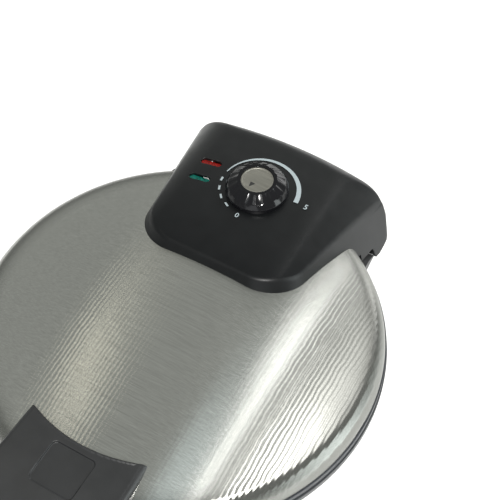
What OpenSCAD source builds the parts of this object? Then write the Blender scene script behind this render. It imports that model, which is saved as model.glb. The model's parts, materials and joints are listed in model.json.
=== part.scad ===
// Electric roti maker: a round hinged contact cooker with a steel dome lid.
// Two non-stick plates face each other. The lid swings up on two hinge pins at
// the rear, and the hood on its back holds the thermostat knob and two lamps.
// The X axis runs to the user's right, Y to the rear and Z up. The origin is on
// the table under the middle of the whole outline.

/* [Plates and rim] */
// Diameter of the flat cooking face of each plate
plate_d = 292; // [270:1:320]
// Thickness of each plate
plate_t = 5; // [4:0.5:6]
// Height of the space between the closed cooking faces
plate_gap = 8; // [7:0.5:10]
// How far the black rim stands out past the cooking faces
rim_out = 22.2; // [21.5:0.1:24]
// Height of the lid's half of the rim
lid_rim_h = 6.6; // [5.6:0.2:8]
// Height of the base's half of the rim
base_rim_h = 6.2; // [5:0.2:8]
// Wall of the rim halves
rim_t = 3.7; // [3:0.1:4.5]
// Parting gap between the closed rim halves
rim_gap = 0.4; // [0.3:0.05:0.8]

/* [Lid dome] */
// Height of the steel dome's lower edge above the table
edge_z = 70; // [64:1:80]
// Step from the rim's edge in to the steel dome's edge
dome_step = 3.2; // [2.4:0.1:4]
// Height of the dome over its lower edge
dome_h = 37.5; // [35:0.5:39]
// Radius of the dome's rolled shoulder
dome_edge_r = 17; // [14:0.5:20]
// Thickness of the dome's steel sheet
steel_t = 0.9; // [0.6:0.1:1.5]

/* [Base shell] */
// Height of the rubber feet
foot_h = 8; // [6:0.5:12]
// Diameter of the rubber feet
foot_d = 24; // [18:1:28]
// Distance of the feet's middles in from the base shell's lower edge
foot_in = 27; // [24:0.5:40]
// Step from the rim's edge in to the base shell, under the rim
shell_step = 9.7; // [8.8:0.1:11]
// How far the base shell draws in from its top to its bottom
shell_taper = 7.5; // [4.5:0.5:9]
// Wall of the base shell
shell_t = 3; // [2.5:0.1:3.5]
// Thickness of the steel bottom cover
cover_t = 1.2; // [0.8:0.1:2]

/* [Control hood] */
// Height of the flat control panel over the dome's lower edge
panel_rise = 43.2; // [42:0.2:48]
// Length of the hood at panel height, from its front edge to its rear wall
panel_l = 147.8; // [141:0.2:153]
// How far the hood's rear wall stands out behind the rim
hood_out = 28.8; // [26:0.2:32]
// Half width of the hood at the panel's front corners
hood_front_half = 67.4; // [62:0.2:70]
// Half width of the hood at the rear, at panel height
hood_rear_half = 77.5; // [74:0.5:80]
// Outward lean of the hood's side walls, in mm per mm of height
side_lean = 0.38; // [0.34:0.01:0.42]
// Forward lean of the hood's front wall, in mm per mm of height
front_lean = 0.61; // [0.5:0.01:0.7]
// Radius of the hood's front corners, at panel height
hood_corner_r = 29; // [22:0.5:34]
// Half width of the panel's flat middle
panel_flat_half = 46; // [42:0.5:50]
// Radius of the panel's side shoulders
shoulder_r = 49; // [45:0.5:54]
// Radius of the roll-off along the rear edge
roll_r = 25; // [18:0.5:28]
// Radius of the panel's front lip
lip_r = 3; // [2:0.25:4]
// Wall of the hood
hood_t = 3; // [2.4:0.1:3.4]
// Depth of the hood's rear wall under the dome's lower edge
hood_drop = 15.5; // [14:0.5:17]

/* [Hinge] */
// Distance of the hinge axis behind the rim's edge
hinge_out = 1.8; // [1.5:0.1:3.5]
// Depth of the hinge axis under the dome's lower edge
hinge_drop = 9; // [8:0.5:10]
// Diameter of the hinge pins
pin_d = 6; // [5:0.5:7]
// Distance from the middle plane to the hood ears' inner faces
ear_x = 88; // [86:0.5:89]
// Thickness of the hinge arms
arm_t = 12; // [10:0.5:14]
// Outside radius of the hinge arms' knuckles
knuckle_r = 9; // [8:0.25:10]
// Running clearance of the hinge pins and of the knob's shaft, on the radius
fit_gap = 0.05; // [0.03:0.01:0.1]

/* [Knob and lamps] */
// Distance of the knob's axis in front of the hood's rear wall
knob_in = 69.1; // [65:0.1:75]
// Diameter of the knob's skirt
knob_d = 53; // [48:0.5:56]
// Height of the knob's metal cap over the panel
knob_h = 13.4; // [12:0.2:18]
// Diameter of the knob's metal cap
cap_d = 27.2; // [24:0.2:30]
// Diameter of the thermostat's shaft
shaft_d = 6; // [5:0.5:7]
// Length of the lamp windows
window_l = 18.4; // [15:0.2:20]
// Width of the lamp windows
window_w = 6; // [5:0.2:7]
// Distance from the middle plane to the middle of the lamp windows
window_x = 49.5; // [47:0.5:51]
// Turn of the lamp windows out of square, in degrees
window_turn = 8; // [4:0.5:10]

/* [Handles] */
// How far the lid's handle stands out in front of the rim
handle_out = 43.8; // [40:0.2:52]
// How far the lid's handle laps over the dome from the dome's edge
handle_lap = 36.6; // [32:0.2:41]
// Half width of the handles
handle_half = 52; // [44:0.5:58]
// Height of the lid handle's top over the dome's lower edge
handle_rise = 25; // [24:0.2:28]
// Wall of the handles
handle_t = 3; // [2.5:0.1:3.5]

/* [Cord inlet] */
// Diameter of the cord that the gland takes
cord_d = 7.2; // [6:0.1:8]
// Length of the gland
gland_l = 16; // [12:0.5:18]

/* [Hidden] */

round_fn = 128;
part_fn = 48;
small_fn = 24;
eps = 0.01;
seat_gap = 0.25;          // gap between curved faces that rest on each other
air_gap = 0.5;            // gap beside parts that move past each other
fixing_gap = 0.03;        // gap round bolts and pins in their holes

plate_r = plate_d / 2;
rim_r = plate_r + rim_out;
dome_r = rim_r - dome_step;
shell_top_r = rim_r - shell_step;
shell_low_r = shell_top_r - shell_taper;
foot_r = shell_low_r - foot_in;
hinge_back = rim_r + hinge_out;
hood_rear = rim_r + hood_out;
panel_front = hood_rear - panel_l;
knob_back = hood_rear - knob_in;
handle_reach = rim_r + handle_out;
handle_inner = dome_r - handle_lap;
far = 2 * rim_r;          // longer than any piece, for cutting blocks
plate_y = (handle_reach - hood_rear) / 2;
ring_low = edge_z - lid_rim_h;
base_top = ring_low - rim_gap;
base_rim_low = base_top - base_rim_h;
mid_z = edge_z - 7;                       // middle plane between the plates
lower_face = mid_z - plate_gap / 2;
shell_low = foot_h + cover_t;
panel_z = edge_z + panel_rise;
knob_y = plate_y + knob_back;
hinge_y = plate_y + hinge_back;
hinge_z = edge_z - hinge_drop;
plastic_black = [0.09, 0.095, 0.1];
steel_grey = [0.62, 0.62, 0.6];
coat_grey = [0.18, 0.18, 0.19];
bright_steel = [0.75, 0.75, 0.76];

// Points of an arc about (cx, cy), from angle a0 to a1 in n steps.
function arc(cx, cy, r, a0, a1, n) =
    [for (i = [0:n]) let (a = a0 + (a1 - a0) * i / n) [cx + r * cos(a), cy + r * sin(a)]];

function flip_x(points) = [for (i = [len(points) - 1:-1:0]) [-points[i][0], points[i][1]]];

module at_plate() { translate([0, plate_y, 0]) children(); }

module at_hinge() { translate([0, hinge_y, hinge_z]) children(); }

module both_sides() {
    for (side = [0, 1]) {
        mirror([side, 0, 0]) children();
    }
}

module around(count, radius, first = 0) {
    for (i = [0:count - 1]) {
        rotate([0, 0, first + i * 360 / count]) translate([radius, 0, 0]) children();
    }
}

// Everything below z that lies within radius r of the plate axis.
module plate_drum(r, z_low, z_high) {
    at_plate() translate([0, 0, z_low]) cylinder(r = r, h = z_high - z_low, $fn = round_fn);
}

// A side view in the plane of Y and Z, given the width that it spans along X.
module side_cut(x_low, x_high) {
    translate([x_low, 0, 0]) rotate([90, 0, 90]) linear_extrude(height = x_high - x_low) children();
}

// A pan head with its shank, drawn pointing down from z = 0.
module screw(shank_d, shank_l, head_d, head_h) {
    translate([0, 0, -eps]) cylinder(d = head_d, h = head_h, $fn = small_fn);
    translate([0, 0, -shank_l]) cylinder(d = shank_d, h = shank_l, $fn = small_fn);
}

// ---------------------------------------------------------------- steel dome

span = dome_r - dome_edge_r;
crown_r = (span * span + dome_h * dome_h - dome_edge_r * dome_edge_r) / (2 * (dome_h - dome_edge_r));
meet_a = atan2(crown_r - dome_h, span);

// The dome as a solid, shrunk by an inset on every side: a spherical crown that
// runs into a rolled shoulder.
module dome_solid(inset) {
    at_plate() translate([0, 0, edge_z]) {
        intersection() {
            translate([0, 0, dome_h - crown_r]) sphere(r = crown_r - inset, $fn = 480);
            cylinder(r = (crown_r - inset) * cos(meet_a), h = dome_h, $fn = round_fn);
        }
        difference() {
            rotate_extrude($fn = round_fn) translate([span, 0]) circle(r = dome_edge_r - inset, $fn = 72);
            translate([0, 0, -dome_edge_r]) cylinder(r = dome_r + 1, h = dome_edge_r, $fn = round_fn);
        }
    }
}

// The space that the dome takes up, grown by a gap, as a turned outline. It
// cuts the pieces that sit on the dome.
module dome_space(gap) {
    at_plate() translate([0, 0, edge_z]) rotate_extrude($fn = round_fn) polygon(concat(
        [[0, -1], [dome_r + gap, -1]],
        arc(span, 0, dome_edge_r + gap, 0, meet_a, 8),
        [for (i = [1:12]) let (a = meet_a + (90 - meet_a) * i / 12)
            [(crown_r + gap) * cos(a), dome_h - crown_r + (crown_r + gap) * sin(a)]]
    ));
}

module lid_dome() {
    color(steel_grey) difference() {
        dome_solid(0);
        difference() {
            dome_solid(steel_t);
            // keeps the lower edge open and the crown closed
            plate_drum(dome_r + 1, 0, edge_z - eps);
        }
        plate_drum(dome_r - steel_t, edge_z - 1, edge_z + 1);
        // opening under the hood for the thermostat and the leads
        translate([-thermo_hole_half, knob_y - thermo_hole_half, edge_z])
            cube([2 * thermo_hole_half, 2 * thermo_hole_half, dome_h]);
        for (p = hood_boss_points) {
            translate([p[0], plate_y + p[1], edge_z])
                cylinder(r = boss_hole_r + fixing_gap, h = dome_h, $fn = small_fn);
        }
        both_sides() translate([handle_screw_x, plate_y - handle_screw_back, edge_z])
            cylinder(r = boss_hole_r + fixing_gap, h = dome_h, $fn = small_fn);
    }
}

thermo_hole_half = 20;
boss_hole_r = 1.6;
head_d = 6;
head_h = 1.8;
// The hood's bosses on the dome: half their spacing, their distance behind the
// panel's front edge, and the depth of the panel over each screw.
front_boss = [42, 28.8, 5];
rear_boss = [67, 54.8, 10];
hood_boss_points = [
    for (boss = [front_boss, rear_boss], side = [-1, 1]) [side * boss[0], panel_front + boss[1], boss[2]]
];
handle_screw_x = 32;
handle_screw_back = handle_inner + 11.6;

// ------------------------------------------------------------------ rim ring

ring_ledge_h = 3;
ring_ledge_r = plate_r + 2.5;

module lid_ring() {
    color(plastic_black) at_plate() rotate_extrude($fn = round_fn) polygon([
        [rim_r - rim_t, ring_low],
        [rim_r - 0.4, ring_low],
        [rim_r, ring_low + 0.4],
        [rim_r, edge_z - 0.6],
        [rim_r - 0.6, edge_z],
        [ring_ledge_r + 12, edge_z],
        [ring_ledge_r + 12, edge_z + ring_ledge_h],
        [ring_ledge_r, edge_z + ring_ledge_h],
        [ring_ledge_r, edge_z],
        [ring_ledge_r + 7.5, edge_z],
        [ring_ledge_r + 7.5, edge_z - ring_ledge_h],
        [rim_r - rim_t, edge_z - ring_ledge_h]
    ]);
}

// ---------------------------------------------------------------- base shell

base_ledge_z = 2 * mid_z - edge_z;        // top of the ledge that carries the lower plate
base_ledge_low = base_ledge_z - ring_ledge_h;

function shell_r(z) = shell_low_r + (shell_top_r - shell_low_r)
    * (z - shell_low) / (base_rim_low - shell_low);

// The ring that carries the lower plate and forms the base's half of the rim. It
// stands on the shell's upper edge and carries on the line of its wall.
module base_ring() {
    gutter_z = base_rim_low + 3;
    color(plastic_black) at_plate() rotate_extrude($fn = round_fn) polygon([
        [rim_r - 0.4, base_rim_low],
        [rim_r, base_rim_low + 0.4],
        [rim_r, base_top - 0.4],
        [rim_r - 0.4, base_top],
        [rim_r - rim_t, base_top],
        [rim_r - rim_t, gutter_z],
        [ring_ledge_r + 7.5, gutter_z],
        [ring_ledge_r + 7.5, base_ledge_z],
        [ring_ledge_r, base_ledge_z],
        [ring_ledge_r, base_ledge_low],
        [shell_r(base_ledge_low), base_ledge_low],
        [shell_top_r, base_rim_low]
    ]);
}

module base_shell() {
    color(plastic_black) difference() {
        at_plate() rotate_extrude($fn = round_fn) polygon(concat(
            [[shell_low_r - 12, shell_low]],
            arc(shell_low_r - 3, shell_low + 3, 3, -90, 0, 4),
            [
                [shell_r(base_ledge_low), base_ledge_low - 0.02],
                [shell_r(base_ledge_low) - shell_t, base_ledge_low - 0.02],
                [shell_low_r - shell_t, shell_low + shell_t],
                [shell_low_r - 12, shell_low + shell_t]
            ]
        ));
        // seat of the cord gland
        gland_place() cylinder(r = gland_neck_r + fixing_gap, h = 40, center = true, $fn = part_fn);
        // holes of the screws for the cover, the handle and the hinge bracket
        at_plate() around(4, cover_screw_r, 0)
            translate([0, 0, shell_low - 1]) cylinder(r = boss_hole_r, h = shell_t + 2, $fn = small_fn);
        handle_screw_places() cylinder(r = boss_hole_r, h = 12, center = true, $fn = small_fn);
        bracket_screw_places() cylinder(r = boss_hole_r, h = 12, center = true, $fn = small_fn);
    }
}

// -------------------------------------------------------------- bottom cover

cover_r = shell_low_r - 5;
cover_screw_r = shell_low_r - 9;

module bottom_cover() {
    slot_l = 34;
    slot_w = 4;
    slot_pitch = 12;
    color(bright_steel) difference() {
        plate_drum(cover_r, foot_h, shell_low - 0.02);
        at_plate() translate([0, 0, foot_h - 1]) {
            // two rows of vent slots
            for (row = [-1, 1], i = [-3:3]) {
                translate([i * slot_pitch, row * 40, 0]) linear_extrude(height = cover_t + 2) {
                    square([slot_w, slot_l - slot_w], center = true);
                    translate([0, (slot_l - slot_w) / 2]) circle(d = slot_w, $fn = small_fn);
                    translate([0, -(slot_l - slot_w) / 2]) circle(d = slot_w, $fn = small_fn);
                }
            }
            around(4, cover_screw_r, 0) cylinder(r = boss_hole_r, h = cover_t + 2, $fn = small_fn);
            around(4, foot_r, 45) cylinder(r = foot_stem_r + fixing_gap, h = cover_t + 2, $fn = small_fn);
        }
    }
}

module cover_screws() {
    color(bright_steel) at_plate() around(4, cover_screw_r, 0)
        translate([0, 0, foot_h - 0.02]) mirror([0, 0, 1])
            screw(2 * boss_hole_r - 2 * fixing_gap, cover_t + shell_t + 4, 7, 1.8);
}

foot_stem_r = 3;

module rubber_feet() {
    color([0.12, 0.12, 0.12]) at_plate() around(4, foot_r, 45) difference() {
        union() {
            rotate_extrude($fn = part_fn) polygon([
                [0, 0],
                [foot_d / 2 - 2.5, 0],
                [foot_d / 2 - 1, 1.2],
                [foot_d / 2, foot_h - 1],
                [foot_d / 2 - 0.6, foot_h - 0.02],
                [0, foot_h - 0.02]
            ]);
            // stem pressed through the cover, with its barb
            cylinder(r = foot_stem_r, h = foot_h + cover_t + 1.6, $fn = small_fn);
            translate([0, 0, foot_h + cover_t + 0.05]) cylinder(r1 = foot_stem_r + 1.2, r2 = foot_stem_r - 0.6,
                h = 2.4, $fn = small_fn);
        }
        translate([0, 0, -1]) cylinder(r = foot_d / 6, h = 3, $fn = small_fn);
    }
}

// ------------------------------------------------------------ heating stacks
// The lower stack is drawn at its place. The upper one is its mirror image about
// the middle plane between the plates.

element_d = 8;
element_ring_r = plate_r - 51;
element_end_a = 14;
bolt_ring_r = element_ring_r - 33;
channel_gap = 0.2;        // gap between the element and its channel in the plate
clamp_t = 1.2;
reflector_t = 0.8;
reflector_depth = 20;
element_z = lower_face - plate_t - element_d / 2;
clamp_z = element_z - element_d / 2 - 0.1 - clamp_t;
reflector_floor = base_ledge_z - reflector_depth;

module upper_side() { translate([0, 0, 2 * mid_z]) mirror([0, 0, 1]) children(); }

module cooking_plate() {
    rib_half = element_d / 2 + 4;
    flange_r = ring_ledge_r + 4;
    flange_z = base_ledge_z + reflector_t + 0.2;
    difference() {
        at_plate() union() {
            rotate_extrude($fn = round_fn) polygon([
                [0, lower_face - plate_t],
                [plate_r - 1.5, lower_face - plate_t],
                [plate_r - 0.5, flange_z],
                [flange_r, flange_z],
                [flange_r, lower_face + 1],
                [flange_r - 0.6, lower_face + 1.5],
                [plate_r + 1.6, lower_face + 1.5],
                [plate_r, lower_face],
                [0, lower_face]
            ]);
            // ribs beside the element's channel
            translate([0, 0, lower_face - plate_t - element_d / 2]) difference() {
                cylinder(r = element_ring_r + rib_half, h = element_d / 2 + 1, $fn = round_fn);
                translate([0, 0, -1])
                    cylinder(r = element_ring_r - rib_half, h = element_d / 2 + 3, $fn = round_fn);
            }
            // bolt bosses
            around(3, bolt_ring_r, 90) translate([0, 0, clamp_z + clamp_t + 0.02])
                cylinder(r = 6, h = lower_face - plate_t - clamp_z - clamp_t + 1, $fn = part_fn);
        }
        at_plate() {
            translate([0, 0, element_z]) rotate_extrude($fn = round_fn)
                translate([element_ring_r, 0]) circle(d = element_d + 2 * channel_gap, $fn = part_fn);
            around(3, bolt_ring_r, 90) translate([0, 0, clamp_z])
                cylinder(r = bolt_r + fixing_gap, h = bolt_bite + 2, $fn = small_fn);
        }
    }
}

module element() {
    lead_l = 11;
    color([0.45, 0.44, 0.42]) at_plate() translate([0, 0, element_z]) {
        rotate([0, 0, 90 + element_end_a]) rotate_extrude(angle = 360 - 2 * element_end_a, $fn = round_fn)
            translate([element_ring_r, 0]) circle(d = element_d, $fn = small_fn);
        for (side = [-1, 1]) {
            rotate([0, 0, 90 + side * element_end_a]) translate([element_ring_r, 0, 0]) {
                translate([0, 0, 4 - lead_l])
                    cylinder(r = element_d / 2 - 0.2, h = lead_l - 3, $fn = part_fn);
                mirror([0, 0, 1]) cylinder(d = 3, h = lead_l, $fn = small_fn);
            }
        }
    }
}

bolt_r = 2;
bolt_bite = 5;

module element_clamp() {
    ring_half = element_d / 2 + 2.5;
    notch_l = 30;
    notch_w = 70;
    color(bright_steel) at_plate() translate([0, 0, clamp_z]) difference() {
        cylinder(r = element_ring_r + ring_half, h = clamp_t, $fn = round_fn);
        difference() {
            translate([0, 0, -1]) cylinder(r = element_ring_r - ring_half, h = clamp_t + 2, $fn = round_fn);
            // three tongues reach in to the bolts
            around(3, bolt_ring_r, 90) translate([-9, -9, -2]) cube([element_ring_r - bolt_ring_r + 9, 18, clamp_t + 4]);
        }
        around(3, bolt_ring_r, 90) translate([0, 0, -1]) cylinder(r = bolt_r + fixing_gap, h = clamp_t + 2, $fn = small_fn);
        // notch for the element's two ends
        rotate([0, 0, 90]) translate([element_ring_r, 0, -1])
            linear_extrude(height = clamp_t + 2) square([notch_l, notch_w], center = true);
    }
}

module reflector() {
    lip = 6.5;
    color(bright_steel) difference() {
        at_plate() rotate_extrude($fn = round_fn) polygon([
            [0, reflector_floor],
            [plate_r - 14, reflector_floor],
            [plate_r + 1, base_ledge_z - 2],
            [plate_r + 1, base_ledge_z + 0.02],
            [ring_ledge_r + lip, base_ledge_z + 0.02],
            [ring_ledge_r + lip, base_ledge_z + reflector_t],
            [plate_r + 1 - reflector_t, base_ledge_z + reflector_t],
            [plate_r + 1 - reflector_t, base_ledge_z - 1.8],
            [plate_r - 14.4, reflector_floor + reflector_t],
            [0, reflector_floor + reflector_t]
        ]);
        // ways out for the element's leads, and for the bolts that hold the dish
        at_plate() for (side = [-1, 1]) {
            rotate([0, 0, 90 + side * element_end_a]) translate([element_ring_r, 0, reflector_floor - 1])
                cylinder(d = element_d + 2, h = 3, $fn = small_fn);
        }
        at_plate() around(3, bolt_ring_r, 90) translate([0, 0, reflector_floor - 1])
            cylinder(r = bolt_r + fixing_gap, h = 3, $fn = small_fn);
    }
}

module plate_bolts() {
    bolt_low = reflector_floor - 3;
    color(bright_steel) at_plate() around(3, bolt_ring_r, 90) {
        translate([0, 0, bolt_low]) cylinder(r = bolt_r, h = clamp_z + bolt_bite + 1 - bolt_low, $fn = small_fn);
        // hexagon head under the dish, and the nuts that hold dish and clamp
        translate([0, 0, bolt_low]) cylinder(r = 4, h = 2.98, $fn = 6);
        translate([0, 0, reflector_floor + reflector_t + 0.02]) cylinder(r = 4, h = 3, $fn = 6);
        translate([0, 0, clamp_z - 3.02]) cylinder(r = 4, h = 3, $fn = 6);
    }
}

module lower_plate() { color(coat_grey) cooking_plate(); }

module upper_plate() { color(coat_grey) upper_side() cooking_plate(); }

module lower_element() { element(); }

module upper_element() { upper_side() element(); }

module lower_element_clamp() { element_clamp(); }

module upper_element_clamp() { upper_side() element_clamp(); }

module lower_reflector() { reflector(); }

module upper_reflector() { upper_side() reflector(); }

module lower_plate_bolts() { plate_bolts(); }

module upper_plate_bolts() { upper_side() plate_bolts(); }

// ------------------------------------------------------------- base fittings

gland_neck_r = 6;
gland_rise = 11.5;
gland_z = shell_low + gland_rise;
gland_flange_r = 8;

module gland_place() {
    translate([0, plate_y + shell_r(gland_z), gland_z]) rotate([-90, 0, 0]) children();
}

module cord_gland() {
    out = gland_l - 7;
    color(plastic_black) gland_place() difference() {
        union() {
            translate([0, 0, -7]) cylinder(r = gland_neck_r, h = gland_l, $fn = part_fn);
            translate([0, 0, 1.4]) cylinder(r = gland_flange_r, h = 2.2, $fn = part_fn);
            // retaining barb inside the wall
            translate([0, 0, -7]) cylinder(r1 = gland_neck_r - 0.4, r2 = gland_neck_r + 1, h = 2.4, $fn = part_fn);
            translate([0, 0, 3.5]) cylinder(r1 = gland_flange_r - 1, r2 = gland_neck_r, h = out - 3.5, $fn = part_fn);
        }
        translate([0, 0, -8]) cylinder(d = cord_d, h = gland_l + 2, $fn = part_fn);
    }
}

module terminal_block() {
    block = [34, 18, 14];
    block_in = 55;
    color([0.85, 0.84, 0.8]) translate([-block[0] / 2, plate_y + shell_low_r - block_in, shell_low + 0.02]) difference() {
        cube(block);
        for (i = [0:2]) {
            translate([block[0] * (i + 0.5) / 3, -1, block[2] * 0.4]) rotate([-90, 0, 0])
                cylinder(r = 2.2, h = block[1] + 2, $fn = small_fn);
            translate([block[0] * (i + 0.5) / 3, block[1] / 2, block[2] * 0.4])
                cylinder(r = 2, h = block[2], $fn = small_fn);
        }
    }
}

// --------------------------------------------------------------------- hinge

arm_out = ear_x - 0.3;
arm_in = arm_out - arm_t;
ear_clear_r = 18.6;

// Side view of one hinge arm about the hinge axis: from the knuckle down and
// forward to the base shell.
module arm_side() {
    circle(r = knuckle_r, $fn = part_fn);
    polygon([
        [0, -2.5],
        [-knuckle_r - 12.5, -2.5],
        [-knuckle_r - 12.5, -4.6],
        [-42, -4.6],
        [-42, -26],
        [-20, -23],
        [-0.7 * knuckle_r, -0.72 * knuckle_r]
    ]);
}

// Side view of the outer shoulder, which lies flush with the hood's side wall
// and outside the path of the swinging ear.
module shoulder_side() {
    difference() {
        polygon([
            [-34, -7.5],
            [-16, -7.5],
            [-16, -13],
            [-10.5, -16.2],
            [-14, -17],
            [-18.5, -20.3],
            [-20.5, -25],
            [-34, -31]
        ]);
        circle(r = ear_clear_r, $fn = part_fn);
    }
}

module hinge_bracket() {
    tie_z_low = hinge_z - 17;
    color(plastic_black) difference() {
        union() {
            both_sides() {
                at_hinge() side_cut(arm_in, arm_out) arm_side();
                intersection() {
                    at_hinge() side_cut(arm_in, low_rear_half) shoulder_side();
                    hood_prism(air_gap);
                }
            }
            // curved tie bar along the back of the base shell
            intersection() {
                plate_drum(shell_top_r + 7, tie_z_low, base_rim_low - air_gap);
                translate([-arm_out, plate_y, 0]) cube([2 * arm_out, far, edge_z]);
            }
        }
        // seat on the base shell and under its rim
        at_plate() translate([0, 0, shell_low]) cylinder(r1 = shell_low_r + seat_gap, r2 = shell_top_r + seat_gap,
            h = base_rim_low - shell_low, $fn = round_fn);
        plate_drum(rim_r + seat_gap, base_rim_low - seat_gap, edge_z);
        at_hinge() rotate([0, 90, 0]) cylinder(r = pin_d / 2 + fixing_gap, h = far, center = true, $fn = part_fn);
        bracket_screw_places() cylinder(r = boss_hole_r, h = 30, center = true, $fn = small_fn);
    }
}

head_lift = 0.6;          // the heads' seat on the leaning wall of the base shell
bracket_screw_x = [-arm_in + 3.3, -37.3, 37.3, arm_in - 3.3];
bracket_screw_z = hinge_z - 12.5;

module bracket_screw_places() {
    wall_r = shell_r(bracket_screw_z) - shell_t;
    for (x = bracket_screw_x) {
        at_plate() rotate([0, 0, acos(x / wall_r)]) translate([wall_r, 0, bracket_screw_z])
            rotate([0, -90, 0]) children();
    }
}

module hinge_bracket_screws() {
    color(bright_steel) bracket_screw_places() translate([0, 0, head_lift])
        screw(2 * boss_hole_r - 2 * fixing_gap, shell_t + 5, head_d, head_h);
}

module hinge_pins() {
    color(bright_steel) both_sides() at_hinge() rotate([0, 90, 0]) {
        translate([0, 0, arm_in - 1.5]) cylinder(d = pin_d, h = ear_x + ear_bore_l - arm_in + 1, $fn = part_fn);
        translate([0, 0, arm_in - 2]) cylinder(d = pin_d + 3, h = 1.95, $fn = part_fn);
    }
}

// -------------------------------------------------------------- control hood
// The hood is a prism that narrows upward, cut by the panel's arched section
// and by the rounded side view of its rear edge. Its outline is drawn at the
// lowest level, with the origin on the rear wall.

ear_drop = 24.5;
ear_bore_l = 7;
hood_low = edge_z - ear_drop - 1;
hood_h = panel_z - hood_low;
low_front = panel_front - front_lean * hood_h;
low_length = hood_rear - low_front;
top_scale_y = (hood_rear - panel_front) / low_length;
low_rear_half = hood_rear_half + side_lean * hood_h;
top_scale_x = hood_rear_half / low_rear_half;
low_front_half = hood_front_half / top_scale_x;
low_corner_r = hood_corner_r / top_scale_x;
rear_corner_r = 16;
rear_arc_r = 620;
prism_steps = 5;

front_x = low_front_half - low_corner_r;
front_y = low_corner_r - low_length;
rear_x = low_rear_half - rear_corner_r;
rear_y = sqrt(pow(rear_arc_r - rear_corner_r, 2) - rear_x * rear_x) - rear_arc_r;

// The turn of the straight side that runs tangent to both corners.
side_turn = acos((low_corner_r - rear_corner_r) / norm([rear_x - front_x, rear_y - front_y]))
    - atan2(rear_y - front_y, rear_x - front_x);

function hood_outline(inset) =
    let (turn = atan2(rear_y + rear_arc_r, rear_x),
         right = concat(
             arc(front_x, front_y, low_corner_r - inset, -90, -side_turn, 14),
             arc(rear_x, rear_y, rear_corner_r - inset, -side_turn, turn, 8),
             arc(0, -rear_arc_r, rear_arc_r - inset, turn, 90, 8)),
         left = flip_x(right))
    concat(right, [for (i = [1:len(left) - 1]) left[i]]);

// The share of the low outline's size that is left at height z.
function scale_x_at(z) = 1 - (1 - top_scale_x) * (z - hood_low) / hood_h;
function scale_y_at(z) = 1 - (1 - top_scale_y) * (z - hood_low) / hood_h;

module hood_slice(inset, z0, z1, tuck0, tuck1, steps = 1) {
    x0 = scale_x_at(z0) * (1 - tuck0 / low_rear_half);
    x1 = scale_x_at(z1) * (1 - tuck1 / low_rear_half);
    y0 = scale_y_at(z0) * (1 - tuck0 / low_length);
    y1 = scale_y_at(z1) * (1 - tuck1 / low_length);
    translate([0, plate_y + hood_rear, z0])
        linear_extrude(height = z1 - z0, scale = [x1 / x0, y1 / y0], slices = steps, segments = 1)
            scale([x0, y0]) polygon(hood_outline(inset));
}

module hood_prism(inset) { hood_slice(inset, hood_low, panel_z, 0, 0, prism_steps); }

// A prism whose side leans in from tuck0 at z0 to tuck1 at z1, carried on down to
// the lowest level.
module lip_prism(z0, z1, tuck0, tuck1) {
    low_tuck = tuck0 - (tuck1 - tuck0) / (z1 - z0) * (z0 - hood_low);
    hood_slice(0, hood_low, z1, low_tuck, tuck1);
}

// The hood's prism with the lip's radius along its upper edge, in flat steps.
module rounded_prism() {
    half = sqrt(0.5);
    lip_z = panel_z - lip_r;
    intersection() {
        hood_prism(0);
        lip_prism(lip_z, lip_z + lip_r * half, 0, lip_r * (1 - half));
        lip_prism(lip_z + lip_r * half, panel_z, lip_r * (1 - half), lip_r);
    }
}

module panel_section(inset) {
    top = panel_z - inset;
    reach = low_rear_half + 10;
    shoulder_z = panel_z - shoulder_r;
    translate([-panel_flat_half, hood_low]) square([2 * panel_flat_half, top - hood_low]);
    for (side = [-1, 1]) {
        translate([side * panel_flat_half, shoulder_z]) circle(r = shoulder_r - inset, $fn = 144);
    }
    translate([-reach, hood_low - 1]) square([2 * reach, shoulder_z + 12 - hood_low + 1]);
}

module rear_section(inset) {
    top = panel_z - inset;
    rear = plate_y + hood_rear - inset;
    radius = roll_r - inset;
    translate([plate_y - 40, hood_low - 1]) square([hood_rear - inset - radius + 40, top - hood_low + 1]);
    translate([rear - radius, top - radius]) circle(r = radius, $fn = 96);
    translate([plate_y - 40, hood_low - 1]) square([hood_rear - inset + 40, top - radius - hood_low + 1]);
}

module hood_limits(inset) {
    intersection() {
        translate([0, plate_y + hood_rear + 20, 0]) rotate([90, 0, 0])
            linear_extrude(height = far) panel_section(inset);
        side_cut(-low_rear_half - 10, low_rear_half + 10) rear_section(inset);
    }
}

module hood_solid() {
    intersection() {
        rounded_prism();
        hood_limits(0);
    }
}

module hood_hollow() {
    intersection() {
        hood_prism(hood_t);
        hood_limits(hood_t);
    }
}

// Side view of one ear about the hinge axis.
module ear_side() {
    front = -8;
    polygon(concat(
        [[front, 8], [front, -ear_drop + hinge_drop]],
        arc(front + 1, 0, ear_drop - hinge_drop, -90, -32, 8),
        [[11, 8]]
    ));
}

// Everything under the hood's lower edges: deeper at the rear wall than along
// the side walls in front of the ears.
module hood_underside() {
    side_low = edge_z - 11;
    step_y = hinge_y - 8;
    translate([-far, -far, 0]) cube([2 * far, far + step_y, side_low]);
    translate([-far, step_y - 1, 0]) cube([2 * far, far, edge_z - hood_drop]);
}

module lamp_windows(grow, z_low, z_high) {
    for (back = window_backs) {
        translate([-window_x, plate_y + back, z_low]) rotate([0, 0, window_turn])
            linear_extrude(height = z_high - z_low) capsule(window_l + 2 * grow, window_w + 2 * grow);
    }
}

window_backs = [knob_back + 8.7, knob_back - 10.7];

module capsule(l, w) {
    square([l - w, w], center = true);
    translate([(l - w) / 2, 0]) circle(d = w, $fn = small_fn);
    translate([(w - l) / 2, 0]) circle(d = w, $fn = small_fn);
}

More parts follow.
